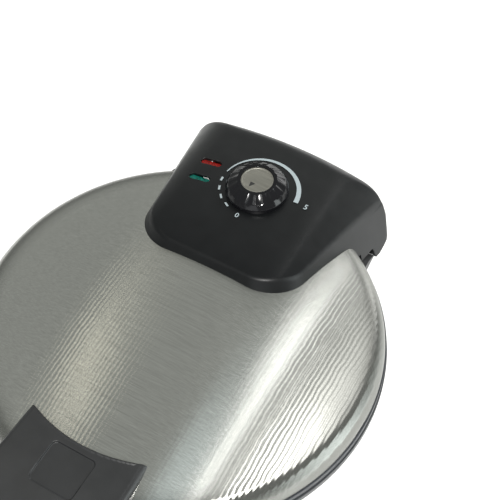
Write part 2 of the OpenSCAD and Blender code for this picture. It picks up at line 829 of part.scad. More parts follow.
module control_hood() {
    boss_r = 4.5;
    color(plastic_black) difference() {
        union() {
            difference() {
                hood_solid();
                hood_hollow();
                hood_underside();
            }
            both_sides() intersection() {
                hood_prism(0);
                at_hinge() side_cut(ear_x, low_rear_half + 10) ear_side();
            }
            // screw bosses that stand on the dome
            intersection() {
                hood_solid();
                for (p = hood_boss_points) {
                    translate([p[0], plate_y + p[1], edge_z]) cylinder(r = boss_r, h = panel_rise, $fn = part_fn);
                }
            }
            // screw bosses that meet the hood's floor
            intersection() {
                hood_solid();
                both_sides() translate([floor_boss_x, plate_y + floor_boss_back, floor_top + 0.05])
                    cylinder(r = boss_r, h = panel_rise, $fn = part_fn);
            }
        }
        dome_space(seat_gap);
        plate_drum(rim_r + seat_gap, 0, edge_z + seat_gap);
        plate_drum(rim_r + air_gap, 0, ring_low);
        // shaft hole and lamp windows
        translate([0, knob_y, panel_z - 10]) cylinder(r = shaft_d / 2 + 1.2, h = 20, $fn = part_fn);
        lamp_windows(0, panel_z - 12, panel_z + 1);
        both_sides() at_hinge() rotate([0, 90, 0])
            translate([0, 0, ear_x - 1]) cylinder(r = pin_d / 2 + fit_gap, h = ear_bore_l + 1, $fn = part_fn);
        for (p = hood_boss_points) {
            translate([p[0], plate_y + p[1], edge_z])
                cylinder(r = boss_hole_r, h = panel_rise - p[2], $fn = small_fn);
        }
        both_sides() translate([floor_boss_x, plate_y + floor_boss_back, floor_top - 1])
            cylinder(r = boss_hole_r, h = 14, $fn = small_fn);
    }
}

floor_boss_x = 58;
floor_boss_back = hood_rear - 13;
floor_t = 2.5;
floor_setback = 7.2;
floor_top = edge_z - 8.5;

module hood_floor() {
    slot_x = arm_in - air_gap - 2;
    color(plastic_black) difference() {
        intersection() {
            hood_prism(hood_t + seat_gap);
            translate([-slot_x, plate_y, floor_top - floor_t]) cube([2 * slot_x, far, floor_t]);
        }
        // set back so that its front edge clears the base when the lid is up
        plate_drum(rim_r + floor_setback, 0, edge_z);
        both_sides() translate([floor_boss_x, plate_y + floor_boss_back, floor_top - 10])
            cylinder(r = boss_hole_r + fixing_gap, h = 20, $fn = small_fn);
    }
}

module hood_screws() {
    color(bright_steel) {
        both_sides() translate([floor_boss_x, plate_y + floor_boss_back, floor_top - floor_t - 0.02])
            mirror([0, 0, 1]) screw(2 * boss_hole_r - 2 * fixing_gap, floor_t + 8, head_d, head_h);
        for (p = hood_boss_points) {
            translate([p[0], plate_y + p[1], hood_screw_z(p)]) mirror([0, 0, 1])
                screw(2 * boss_hole_r - 2 * fixing_gap, panel_z - p[2] - 0.5 - hood_screw_z(p), head_d, head_h);
        }
    }
}

// Height of the dome's inside face at a point of the hood's bosses.
function hood_screw_z(p) =
    let (away = norm([p[0], p[1]]) + 3)
    edge_z + dome_h - crown_r + sqrt(pow(crown_r - steel_t, 2) - away * away) - 0.1;

// -------------------------------------------------------- thermostat and lamps

thermo_top = panel_z - hood_t - 3.4;
thermo_body_h = 13;

module thermostat_bracket() {
    t = 1.2;
    color(bright_steel) translate([0, knob_y, thermo_top]) difference() {
        union() {
            translate([-24, -12, 0]) cube([48, 24, t]);
            for (side = [-1, 1]) {
                translate([side * 24 - t / 2, -12, 0]) cube([t, 24, panel_z - hood_t - thermo_top - 0.02]);
            }
        }
        translate([0, 0, -1]) cylinder(r = thermo_neck_r + fixing_gap, h = 4, $fn = part_fn);
    }
}

thermo_neck_r = 4.5;

module thermostat_body() {
    color([0.8, 0.78, 0.7]) translate([0, knob_y, thermo_top]) difference() {
        union() {
            translate([0, 0, -thermo_body_h]) cylinder(r = 14, h = thermo_body_h - 0.02, $fn = part_fn);
            translate([0, 0, -1]) cylinder(r = thermo_neck_r, h = 1 + 3.2, $fn = part_fn);
        }
        translate([0, 0, -thermo_body_h + 3]) cylinder(r = shaft_d / 2 + fit_gap, h = 40, $fn = part_fn);
    }
}

module thermostat_nut() {
    color(bright_steel) translate([0, knob_y, thermo_top + 1.22]) difference() {
        cylinder(r = 7, h = 1.6, $fn = 6);
        translate([0, 0, -1]) cylinder(r = thermo_neck_r + fixing_gap, h = 4, $fn = part_fn);
    }
}

module thermostat_shaft() {
    low = thermo_top - thermo_body_h + 3.2;
    high = panel_z + knob_h - 4;
    color(bright_steel) translate([0, knob_y, 0]) difference() {
        translate([0, 0, low]) cylinder(d = shaft_d, h = high - low, $fn = part_fn);
        // flat that drives the knob
        translate([shaft_d / 2 - 1.2, -shaft_d, panel_z + 1.5]) cube([shaft_d, 2 * shaft_d, 20]);
    }
}

module thermal_fuse() {
    color([0.8, 0.8, 0.82]) translate([0, plate_y, 0]) {
        fuse_z = 2 * mid_z - reflector_floor + 2.6;
        fuse_y = bolt_ring_r - 22;
        translate([-8, fuse_y, fuse_z]) rotate([0, 90, 0]) cylinder(r = 2, h = 16, $fn = small_fn);
        for (x = [-11, 10]) {
            translate([x, fuse_y - 1.5, fuse_z - 2.58]) cube([1, 3, 5]);
        }
        for (x = [-11, 7.9]) {
            translate([x, fuse_y, fuse_z]) rotate([0, 90, 0]) cylinder(r = 0.6, h = 3, $fn = small_fn);
        }
    }
}

lens_sink = 1.2;

module lens(back) {
    flange = 1;
    translate([-window_x, plate_y + back, 0]) rotate([0, 0, window_turn]) {
        translate([0, 0, lens_low + flange])
            linear_extrude(height = panel_z - lens_sink - lens_low - flange - lens_tilt_drop)
                capsule(window_l - 0.3, window_w - 0.3);
        translate([0, 0, lens_low]) linear_extrude(height = flange + eps)
            capsule(window_l + 2, window_w + 2);
    }
}

lens_tilt_drop = 0.9;
lens_low = panel_z - hood_t - 3.2;

module red_lens() { color([0.75, 0.05, 0.04]) lens(window_backs[0]); }

module green_lens() { color([0.02, 0.4, 0.28]) lens(window_backs[1]); }

module lamp_holder() {
    tray_h = 8;
    color([0.85, 0.85, 0.83]) difference() {
        union() {
            for (back = window_backs) {
                translate([-window_x, plate_y + back, lens_low - tray_h - 0.02]) rotate([0, 0, window_turn])
                    translate([-window_l / 2 - 1, -window_w / 2 - 1, 0]) cube([window_l + 2, window_w + 2, tray_h]);
            }
            translate([-window_x - 3, plate_y + window_backs[1], lens_low - tray_h - 0.02])
                cube([6, window_backs[0] - window_backs[1], 1.5]);
        }
        for (back = window_backs) {
            translate([-window_x, plate_y + back, lens_low - tray_h + 1.5]) rotate([0, 0, window_turn])
                translate([-window_l / 2, -window_w / 2, 0]) cube([window_l, window_w, tray_h]);
        }
    }
}

module neon_lamps() {
    color([0.95, 0.6, 0.4]) for (back = window_backs) {
        translate([-window_x, plate_y + back, lens_low - 4]) rotate([0, 0, window_turn]) rotate([0, 90, 0]) {
            translate([0, 0, -5]) cylinder(r = 2.4, h = 10, $fn = small_fn);
            translate([0, 0, 5]) sphere(r = 2.4, $fn = small_fn);
            translate([0, 0, -window_l / 2 + 0.02]) cylinder(r = 0.5, h = 5, $fn = small_fn);
        }
    }
}

// ---------------------------------------------------------------------- knob

knob_lift = 0.7;
cap_t = 1;
flute_count = 16;

module knob_body() {
    r = knob_d / 2;
    top = knob_h + 0.5;
    ring_r = cap_d / 2 + 3;
    color([0.05, 0.05, 0.055]) translate([0, knob_y, panel_z]) difference() {
        rotate_extrude($fn = 96) polygon(concat(
            [[0, knob_lift], [r - 0.5, knob_lift], [r, knob_lift + 0.5], [r, knob_h * 0.3]],
            arc(r - 4, knob_h * 0.3, 4, 0, 50, 5),
            [[r - 2.6, knob_h * 0.66], [ring_r + 0.6, top - 0.3], [ring_r, top], [0, top]]
        ));
        // seat of the metal cap
        translate([0, 0, knob_h - cap_t]) cylinder(d = cap_d + 0.2, h = 4, $fn = 96);
        // bore with the shaft's flat
        difference() {
            translate([0, 0, -1]) cylinder(r = shaft_d / 2 + fixing_gap, h = knob_h - 2.8, $fn = part_fn);
            translate([shaft_d / 2 - 1.2 + fixing_gap, -shaft_d, 1.6]) cube([shaft_d, 2 * shaft_d, 20]);
        }
        // grip flutes round the bevel
        for (i = [0:flute_count - 1]) {
            rotate([0, 0, (i + 0.5) * 360 / flute_count]) translate([r - 3.4, 0, knob_h * 0.69])
                rotate([0, -40, 0]) cylinder(r = 1.2, h = 14, center = true, $fn = 16);
        }
    }
}

module knob_cap() {
    color(bright_steel) translate([0, knob_y, panel_z + knob_h - cap_t + 0.02])
        cylinder(d = cap_d, h = cap_t, $fn = 96);
}

// ------------------------------------------------------------------- handles

lid_handle_low = edge_z - 5.5;

// The lid handle's rounded block, shrunk by an inset.
module lid_handle_block(inset) {
    tip_r = 8;
    half = handle_half - 8;
    hull() {
        both_sides() {
            translate([half, plate_y - handle_inner + 4, edge_z + handle_rise - tip_r])
                sphere(r = tip_r - inset, $fn = 32);
            translate([half, plate_y - rim_r - 4, edge_z + handle_rise - 10])
                sphere(r = 10 - inset, $fn = 32);
            translate([half - 10, plate_y - handle_reach + tip_r, edge_z + 8])
                sphere(r = tip_r - inset, $fn = 32);
            translate([half + 2, plate_y - rim_r - 8, lid_handle_low + 3])
                sphere(r = 3 - min(inset, 2), $fn = 32);
            translate([half + 2, plate_y - handle_inner, lid_handle_low + 3])
                sphere(r = 3 - min(inset, 2), $fn = 32);
        }
    }
}

module lid_handle() {
    recess_half = 18.5;
    recess_depth = 1.8;
    recess_back = handle_inner + 6.1;
    recess_front = recess_back + 33.5;
    recess_r = 4;
    color(plastic_black) difference() {
        union() {
            lid_handle_block(0);
            // thin raised lip along the inner edge
            intersection() {
                at_plate() translate([0, 0, edge_z + handle_rise - 4]) difference() {
                    cylinder(r = handle_inner + 1.6, h = 4.8, $fn = round_fn);
                    translate([0, 0, -1]) cylinder(r = handle_inner, h = 7, $fn = round_fn);
                }
                translate([8 - handle_half, plate_y - handle_inner - 12, 0])
                    cube([2 * (handle_half - 8), 40, far]);
            }
        }
        plate_drum(handle_inner, 0, far);
        dome_space(seat_gap);
        plate_drum(rim_r + seat_gap, 0, edge_z + seat_gap);
        // the hollow underneath, in front of the rim
        intersection() {
            translate([0, 0, -handle_t]) lid_handle_block(handle_t);
            translate([-handle_half, plate_y - handle_reach, 0])
                cube([2 * handle_half, handle_reach - rim_r - handle_t, far]);
        }
        intersection() {
            translate([0, 0, -handle_t - 4]) lid_handle_block(handle_t);
            translate([-handle_half, plate_y - handle_reach, 0])
                cube([2 * handle_half, handle_reach - rim_r - handle_t, far]);
        }
        // thumb recess on top
        translate([0, plate_y, edge_z + handle_rise - recess_depth]) linear_extrude(height = 20) {
            translate([-recess_half + recess_r, -recess_front])
                square([2 * (recess_half - recess_r), recess_front - recess_back]);
            translate([-recess_half, -recess_front + recess_r])
                square([2 * recess_half, recess_front - recess_back - 2 * recess_r]);
            for (x = [-1, 1], y = [-recess_front + recess_r, -recess_back - recess_r]) {
                translate([x * (recess_half - recess_r), y]) circle(r = recess_r, $fn = part_fn);
            }
        }
        both_sides() translate([handle_screw_x, plate_y - handle_screw_back, edge_z])
            cylinder(r = boss_hole_r, h = handle_screw_top + 0.4, $fn = small_fn);
    }
}

handle_screw_top = handle_rise - 2;

module lid_handle_screws() {
    p = [handle_screw_x, handle_screw_back];
    color(bright_steel) both_sides() translate([handle_screw_x, plate_y - handle_screw_back, hood_screw_z(p)])
        mirror([0, 0, 1]) screw(2 * boss_hole_r - 2 * fixing_gap, edge_z + handle_screw_top - hood_screw_z(p), head_d, head_h);
}

base_handle_reach = handle_reach - 14;

module base_handle_block(inset) {
    half = handle_half - 8;
    top = base_top - 2;
    hull() {
        both_sides() {
            translate([half + 4, plate_y - shell_top_r + 12, top - 4]) sphere(r = 4 - min(inset, 3), $fn = 32);
            translate([half - 6, plate_y - base_handle_reach + 5, top - 5]) sphere(r = 5 - inset, $fn = 32);
            translate([half - 4, plate_y - rim_r - 8, top - 15]) sphere(r = 6 - inset, $fn = 32);
            translate([half + 3, plate_y - shell_top_r + 12, top - 26]) sphere(r = 5 - inset, $fn = 32);
        }
    }
}

module base_handle() {
    color(plastic_black) difference() {
        base_handle_block(0);
        at_plate() translate([0, 0, shell_low]) cylinder(r1 = shell_low_r + seat_gap, r2 = shell_top_r + seat_gap,
            h = base_rim_low - shell_low, $fn = round_fn);
        plate_drum(rim_r + seat_gap, base_rim_low - seat_gap, edge_z);
        // hollow seen from below
        intersection() {
            translate([0, 0, -handle_t]) base_handle_block(handle_t);
            translate([-handle_half, plate_y - handle_reach, 0])
                cube([2 * handle_half, handle_reach - shell_top_r - 2 * handle_t, far]);
        }
        handle_screw_places() cylinder(r = boss_hole_r, h = 30, center = true, $fn = small_fn);
    }
}

base_handle_screw_x = 26.8;
base_handle_screw_z = base_rim_low - 9;

module handle_screw_places() {
    wall_r = shell_r(base_handle_screw_z) - shell_t;
    for (x = [-base_handle_screw_x, base_handle_screw_x]) {
        at_plate() rotate([0, 0, -acos(x / wall_r)]) translate([wall_r, 0, base_handle_screw_z])
            rotate([0, -90, 0]) children();
    }
}

module base_handle_screws() {
    color(bright_steel) handle_screw_places() translate([0, 0, head_lift])
        screw(2 * boss_hole_r - 2 * fixing_gap, shell_t + 5, head_d, head_h);
}

base_shell();
base_ring();
bottom_cover();
rubber_feet();
cover_screws();
lower_plate();
lower_element();
lower_element_clamp();
lower_reflector();
lower_plate_bolts();
terminal_block();
cord_gland();
base_handle();
base_handle_screws();
hinge_bracket();
hinge_bracket_screws();
hinge_pins();
lid_dome();
lid_ring();
upper_plate();
upper_element();
upper_element_clamp();
upper_reflector();
upper_plate_bolts();
control_hood();
hood_floor();
hood_screws();
thermostat_body();
thermostat_bracket();
thermostat_nut();
thermal_fuse();
lamp_holder();
neon_lamps();
red_lens();
green_lens();
lid_handle();
lid_handle_screws();
thermostat_shaft();
knob_body();
knob_cap();
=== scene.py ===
"""Electric roti maker: looks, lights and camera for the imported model.

Every piece that shows is drawn again here with smooth surfaces, at the place
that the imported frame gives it. Sizes are in millimetres and become metres when
a mesh is made. "Rise" is a height over the lower edge of the steel dome, and
"back" a distance behind the plate axis.
"""

import json
import math

import bpy
import numpy as np
from mathutils import Matrix, Vector


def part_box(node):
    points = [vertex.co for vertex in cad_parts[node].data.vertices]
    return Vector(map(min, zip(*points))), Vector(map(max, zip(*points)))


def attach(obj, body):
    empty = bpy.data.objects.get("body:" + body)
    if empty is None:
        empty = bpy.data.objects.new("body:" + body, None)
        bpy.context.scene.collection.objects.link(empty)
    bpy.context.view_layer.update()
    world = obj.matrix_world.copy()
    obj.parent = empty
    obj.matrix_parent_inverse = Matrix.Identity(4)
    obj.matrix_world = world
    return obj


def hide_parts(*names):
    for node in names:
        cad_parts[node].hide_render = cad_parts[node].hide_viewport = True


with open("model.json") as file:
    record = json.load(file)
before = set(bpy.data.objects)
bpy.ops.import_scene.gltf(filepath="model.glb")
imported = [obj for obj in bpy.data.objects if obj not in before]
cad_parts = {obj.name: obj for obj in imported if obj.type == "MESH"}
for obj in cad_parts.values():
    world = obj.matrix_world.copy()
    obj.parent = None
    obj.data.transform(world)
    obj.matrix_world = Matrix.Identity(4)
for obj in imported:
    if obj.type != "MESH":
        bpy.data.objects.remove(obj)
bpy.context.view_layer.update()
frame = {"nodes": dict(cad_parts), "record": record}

MM = 0.001


def node_box(node):
    """Lowest and highest corner of a CAD node, in millimetres."""
    low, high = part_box(node)
    return np.array(low) / MM, np.array(high) / MM


# ----------------------------------------------------------- driving dimensions

dome_low, dome_high = node_box("lid_dome")
base_ring_low, base_ring_high = node_box("base_ring")
shell_low, shell_high = node_box("base_shell")
hood_low, hood_high = node_box("control_hood")
knob_low, knob_high = node_box("knob_body")
cap_low, cap_high = node_box("knob_cap")
handle_low, handle_high = node_box("lid_handle")

PLATE_Y = 0.5 * (dome_low[1] + dome_high[1])
EDGE_Z = dome_low[2]
DOME_R = 0.5 * (dome_high[0] - dome_low[0])
DOME_H = dome_high[2] - dome_low[2]
DOME_EDGE_R = 17.0
STEEL_T = 0.9
LATHE_STEPS = 384

# rims: the solids' radius, and the slimmer ones that the photograph shows
RIM_R = 168.2
LID_RIM_R = 166.2
BASE_RIM_R = 167.2
RIM_LIP = 3.7
RIM_LEDGE_R = 148.5
GUTTER_W = 7.5
LID_RIM_H = 6.6
BASE_RIM_H = 6.2

SPAN = DOME_R - DOME_EDGE_R
CROWN_R = (SPAN**2 + DOME_H**2 - DOME_EDGE_R**2) / (2 * (DOME_H - DOME_EDGE_R))
MEET_A = math.atan2(CROWN_R - DOME_H, SPAN)

# control hood: the solid's outline, with its rear, shoulders and ears drawn closer
# to the photograph
PANEL_RISE = 43.2
PANEL_FRONT = 49.2
HOOD_REAR = 198.0
FRONT_HALF = 67.4
REAR_HALF = 78.3
SIDE_LEAN = 0.45
FRONT_LEAN = 0.61
FRONT_CORNER_R = 29.0
REAR_CORNER_R = 1.5
REAR_CORNER_GROWTH = 0.45
REAR_ARC_R = 383.0
PANEL_FLAT_HALF = 44.0
SHOULDER_R = 54.5
SHOULDER_SPAN = 32.0
RIDGE_DROP = 24.0
RIDGE_FADE = 0.4
ROLL_R = 21.5
ARCH_TO_ROLL_R = 2.5
TOP_EDGE_R = 1.3
FRONT_EDGE_R = 2.8
HOOD_T = 3.0
EAR_DROP = 24.5
EAR_FOOT = 14.5
EAR_FRONT = -13.5
SIDE_FOOT = 6.0
HOOD_DROP = 15.5
HINGE_BACK = 170.0
HINGE_RISE = -9.0
EAR_X = 88.0
PANEL_Z = EDGE_Z + PANEL_RISE

KNOB_BACK = 127.9
KNOB_Y = PLATE_Y + KNOB_BACK
KNOB_R = 0.5 * (knob_high[0] - knob_low[0])
CAP_R = 0.5 * (cap_high[0] - cap_low[0])
CAP_TOP = cap_high[2]
WINDOW_X = -49.5
WINDOW_BACKS = (136.6, 117.2)
WINDOW_L = 18.4
WINDOW_W = 6.0
WINDOW_TURN = 8.0
HOLE_DEPTH = 9.0
SHAFT_HOLE_R = 4.2

# pieces on the lid run this far into the dome, and keep this far from the rims
DOME_INSET = 1.2
RIM_ROOM = 0.3

HANDLE_INNER = 128.4
HANDLE_REACH = 212.0
HANDLE_RISE = 25.0


# ------------------------------------------------------------------------ camera

CAMERA_AZIMUTH = 29.729
CAMERA_ELEVATION = 52.925
CAMERA_AT = (278.357, PLATE_Y - 371.421, EDGE_Z + 717.480)
FOCAL_PX = 1065.37
IMAGE_PX = 500
SENSOR_MM = 36.0


def add_camera():
    """The photograph's own camera, as its ellipses and edges give it."""
    azimuth = math.radians(CAMERA_AZIMUTH)
    elevation = math.radians(CAMERA_ELEVATION)
    back = Vector((
        math.sin(azimuth) * math.cos(elevation),
        -math.cos(azimuth) * math.cos(elevation),
        math.sin(elevation),
    ))
    right = Vector((math.cos(azimuth), math.sin(azimuth), 0.0))
    up = back.cross(right)
    data = bpy.data.cameras.new("camera")
    data.sensor_width = SENSOR_MM
    data.lens = FOCAL_PX / IMAGE_PX * SENSOR_MM
    data.clip_start = 0.02
    data.clip_end = 30.0
    camera = bpy.data.objects.new("camera", data)
    place = Matrix((right, up, back)).transposed().to_4x4()
    place.translation = Vector(CAMERA_AT) * MM
    camera.matrix_world = place
    bpy.context.scene.collection.objects.link(camera)
    bpy.context.scene.camera = camera


add_camera()


# --------------------------------------------------------------------- materials

GRAIN_DEPTH = 0.00002
NOISE_RANGE = (0.3, 0.7)
# radii and greys of the painted shade that darkens the dome's turned-down edge
PAINTED_SHADE_RADII = (0.14, 0.166)
PAINTED_SHADE_GREYS = ((0.0, 1.0), (0.3, 0.85), (0.55, 0.5), (1.0, 0.52))
WAVE_DEPTH = 0.000032
BRUSH_DEPTH = 0.000012


class Shader:
    """A small helper for one material's node tree."""

    def __init__(self, name):
        self.material = bpy.data.materials.get(name) or bpy.data.materials.new(name)
        self.material.use_nodes = True
        self.tree = self.material.node_tree
        self.tree.nodes.clear()
        self.output = self.add("ShaderNodeOutputMaterial")
        self.shader = self.add("ShaderNodeBsdfPrincipled")
        self.link(self.shader.outputs["BSDF"], self.output.inputs["Surface"])

    def add(self, kind, **values):
        node = self.tree.nodes.new(kind)
        for key, value in values.items():
            setattr(node, key, value)
        return node

    def link(self, a, b):
        self.tree.links.new(a, b)

    def set(self, **values):
        for key, value in values.items():
            self.shader.inputs[key.replace("_", " ")].default_value = value

    def coordinates(self, scale=(1, 1, 1)):
        """Object coordinates, stretched: the noise gets finer where scale is larger."""
        place = self.add("ShaderNodeTexCoord")
        mapping = self.add("ShaderNodeMapping")
        mapping.inputs["Scale"].default_value = scale
        self.link(place.outputs["Object"], mapping.inputs["Vector"])
        return mapping.outputs["Vector"]

    def noise(self, scale, detail=2.0, stretch=(1, 1, 1), roughness=0.5):
        texture = self.add("ShaderNodeTexNoise")
        texture.inputs["Scale"].default_value = scale
        texture.inputs["Detail"].default_value = detail
        texture.inputs["Roughness"].default_value = roughness
        self.link(self.coordinates(stretch), texture.inputs["Vector"])
        return texture.outputs["Fac"]

    def span(self, value, low, high, from_low=0.0, from_high=1.0):
        """value, moved from its own range to low..high."""
        node = self.add("ShaderNodeMapRange")
        node.inputs["From Min"].default_value = from_low
        node.inputs["From Max"].default_value = from_high
        node.inputs["To Min"].default_value = low
        node.inputs["To Max"].default_value = high
        self.link(value, node.inputs["Value"])
        return node.outputs["Result"]

    def ramp(self, value, stops):
        node = self.add("ShaderNodeValToRGB")
        ramp = node.color_ramp
        while len(ramp.elements) < len(stops):
            ramp.elements.new(0.5)
        for element, (place, colour) in zip(ramp.elements, stops):
            element.position = place
            element.color = (*colour, 1.0)
        self.link(value, node.inputs["Fac"])
        return node.outputs["Color"]

    def bump(self, height, strength, distance, normal=None):
        node = self.add("ShaderNodeBump")
        node.inputs["Strength"].default_value = strength
        node.inputs["Distance"].default_value = distance
        self.link(height, node.inputs["Height"])
        if normal is not None:
            self.link(normal, node.inputs["Normal"])
        return node.outputs["Normal"]


def shades(colour, mottle):
    """Stops of a ramp from a darker to a lighter shade of one colour."""
    dark = [c * (1 - mottle) for c in colour]
    light = [min(1.0, c * (1 + mottle)) for c in colour]
    return list(zip(NOISE_RANGE, (dark, light)))


def moulding(name, colour, rough, grain_size, grain, mottle):
    """Shader of a moulded plastic: a fine grain, a faint mottle and an even colour."""
    s = Shader(name)
    s.link(s.ramp(s.noise(60, 3), shades(colour, mottle)), s.shader.inputs["Base Color"])
    uneven = s.span(s.noise(90, 4), rough - 0.04, rough + 0.05, *NOISE_RANGE)
    s.link(uneven, s.shader.inputs["Roughness"])
    height = s.noise(1.0 / (grain_size * MM), 2)
    s.link(s.bump(height, grain, GRAIN_DEPTH), s.shader.inputs["Normal"])
    return s


def plastic(name, colour, rough, grain_size, grain, mottle=0.12, shine=0.5):
    """A moulded plastic that is equally glossy all over."""
    s = moulding(name, colour, rough, grain_size, grain, mottle)
    s.set(Specular_IOR_Level=shine)
    return s.material


def hood_plastic(name):
    """The hood's black moulding, duller at its front than at its rear."""
    s = moulding(name, (0.005, 0.0055, 0.006), 0.36, 0.3, 0.03, 0.12)
    place = s.add("ShaderNodeSeparateXYZ")
    s.link(s.coordinates(), place.inputs["Vector"])
    front, rear = 0.06, 0.17
    s.link(s.span(place.outputs["Y"], 0.2, 0.5, front, rear), s.shader.inputs["Specular IOR Level"])
    return s.material


def metal(name, colour, rough, stretch=(1, 1, 1), grain=0.3):
    """Plain sheet or turned steel with a directional grain."""
    s = Shader(name)
    lines = s.noise(900, 3, stretch)
    s.link(s.ramp(lines, shades(colour, 0.08)), s.shader.inputs["Base Color"])
    s.link(s.span(lines, rough - 0.06, rough + 0.08, *NOISE_RANGE), s.shader.inputs["Roughness"])
    s.link(s.bump(lines, grain, GRAIN_DEPTH), s.shader.inputs["Normal"])
    s.set(Metallic=1.0)
    return s.material


def painted_edge_shade(s):
    """Painted shade: a grey that makes the turned-down edge darker than the crown, by its radius."""
    place = s.add("ShaderNodeTexCoord")
    flat = s.add("ShaderNodeMapping")
    flat.inputs["Location"].default_value = (0, -PLATE_Y * MM, 0)
    flat.inputs["Scale"].default_value = (1, 1, 0)
    s.link(place.outputs["Object"], flat.inputs["Vector"])
    radius = s.add("ShaderNodeVectorMath", operation="LENGTH")
    s.link(flat.outputs["Vector"], radius.inputs[0])
    share = s.span(radius.outputs["Value"], 0, 1, *PAINTED_SHADE_RADII)
    return s.ramp(share, [(stop, (grey, grey, grey)) for stop, grey in PAINTED_SHADE_GREYS])


def press_waves(s):
    """Height of faint upright waves: strong at the left, weak in the middle and back at the right."""
    waves = s.add("ShaderNodeTexWave", bands_direction="X")
    waves.inputs["Scale"].default_value = 95.0
    waves.inputs["Distortion"].default_value = 3.0
    waves.inputs["Detail"].default_value = 2.0
    waves.inputs["Detail Scale"].default_value = 0.7
    s.link(s.coordinates((1, 0.8, 0)), waves.inputs["Vector"])
    across = s.add("ShaderNodeSeparateXYZ")
    s.link(s.coordinates(), across.inputs["Vector"])
    left = s.span(across.outputs["X"], 1.0, 0.12, 0.0, 0.04)
    right = s.span(across.outputs["X"], 0.0, 1.3, 0.098, 0.112)
    share = s.add("ShaderNodeMath", operation="ADD")
    s.link(left, share.inputs[0])
    s.link(right, share.inputs[1])
    height = s.add("ShaderNodeMath", operation="MULTIPLY")
    s.link(waves.outputs["Fac"], height.inputs[0])
    s.link(share.outputs["Value"], height.inputs[1])
    return height.outputs["Value"]


def brushed_lid(name):
    """Stainless sheet brushed from side to side, with faint waves left by the press and painted shade
    on its turned-down edge.
    """
    s = Shader(name)
    lines = s.noise(1400, 4, (0.015, 1, 1), 0.65)
    tint = s.ramp(lines, [(0.25, (0.42, 0.42, 0.395)), (0.75, (0.6, 0.605, 0.57))])
    mix = s.add("ShaderNodeMix", data_type="RGBA", blend_type="MULTIPLY")
    mix.inputs["Factor"].default_value = 1.0
    s.link(tint, mix.inputs["A"])
    # the brushed tint is multiplied by painted shade on the turned-down edge
    s.link(painted_edge_shade(s), mix.inputs["B"])
    s.link(mix.outputs["Result"], s.shader.inputs["Base Color"])
    broad = s.noise(9, 3, (0.6, 1, 1))
    s.link(s.span(broad, 0.22, 0.27, *NOISE_RANGE), s.shader.inputs["Roughness"])
    waved = s.bump(press_waves(s), 1.0, WAVE_DEPTH)
    s.link(s.bump(lines, 0.25, BRUSH_DEPTH, waved), s.shader.inputs["Normal"])
    s.set(Metallic=1.0, Anisotropic=1.0)
    tangent = s.add("ShaderNodeTangent", direction_type="UV_MAP", uv_map="across")
    s.link(tangent.outputs["Tangent"], s.shader.inputs["Tangent"])
    return s.material


def rubber(name):
    """Dull black rubber with a coarse grain."""
    s = Shader(name)
    dark, light = (0.02, 0.02, 0.02), (0.04, 0.04, 0.04)
    s.link(s.ramp(s.noise(500, 4), [(0.3, dark), (0.7, light)]), s.shader.inputs["Base Color"])
    s.link(s.bump(s.noise(1500, 3), 0.4, 0.00005), s.shader.inputs["Normal"])
    s.set(Roughness=0.8, Specular_IOR_Level=0.3)
    return s.material


def coated(name):
    """Dark non-stick coating with a fine pale speckle."""
    s = Shader(name)
    specks = s.noise(2600, 2, (1, 1, 1), 0.7)
    stops = [
        (0.0, (0.022, 0.022, 0.025)),
        (0.64, (0.03, 0.03, 0.033)),
        (0.72, (0.13, 0.13, 0.14)),
    ]
    s.link(s.ramp(specks, stops), s.shader.inputs["Base Color"])
    s.link(s.span(s.noise(40, 4), 0.38, 0.52, *NOISE_RANGE), s.shader.inputs["Roughness"])
    s.link(s.bump(s.noise(900, 3), 0.35, 0.00004), s.shader.inputs["Normal"])
    return s.material


def lens_plastic(name, deep, bright):
    """A tinted window: a satin face over an uneven, tinted body."""
    s = Shader(name)
    ribs = s.noise(700, 1)
    s.link(s.ramp(ribs, [(0.3, deep), (0.75, bright)]), s.shader.inputs["Base Color"])
    s.link(s.bump(s.noise(300, 2), 0.15, 0.00008), s.shader.inputs["Normal"])
    s.set(Roughness=0.3, Specular_IOR_Level=0.3)
    return s.material


def lamp_glass(name):
    """Clear glass with a warm tint."""
    s = Shader(name)
    s.link(s.span(s.noise(400, 3), 0.05, 0.2, *NOISE_RANGE), s.shader.inputs["Roughness"])
    s.set(Base_Color=(0.95, 0.72, 0.55, 1), Transmission_Weight=0.8, IOR=1.45)
    return s.material


def print_ink(name, colour):
    """Printed marks, with slightly uneven ink."""
    s = Shader(name)
    pale = [c * 0.86 for c in colour]
    s.link(s.ramp(s.noise(1200, 3), [(0.3, pale), (0.7, colour)]), s.shader.inputs["Base Color"])
    s.set(Roughness=0.45)
    return s.material


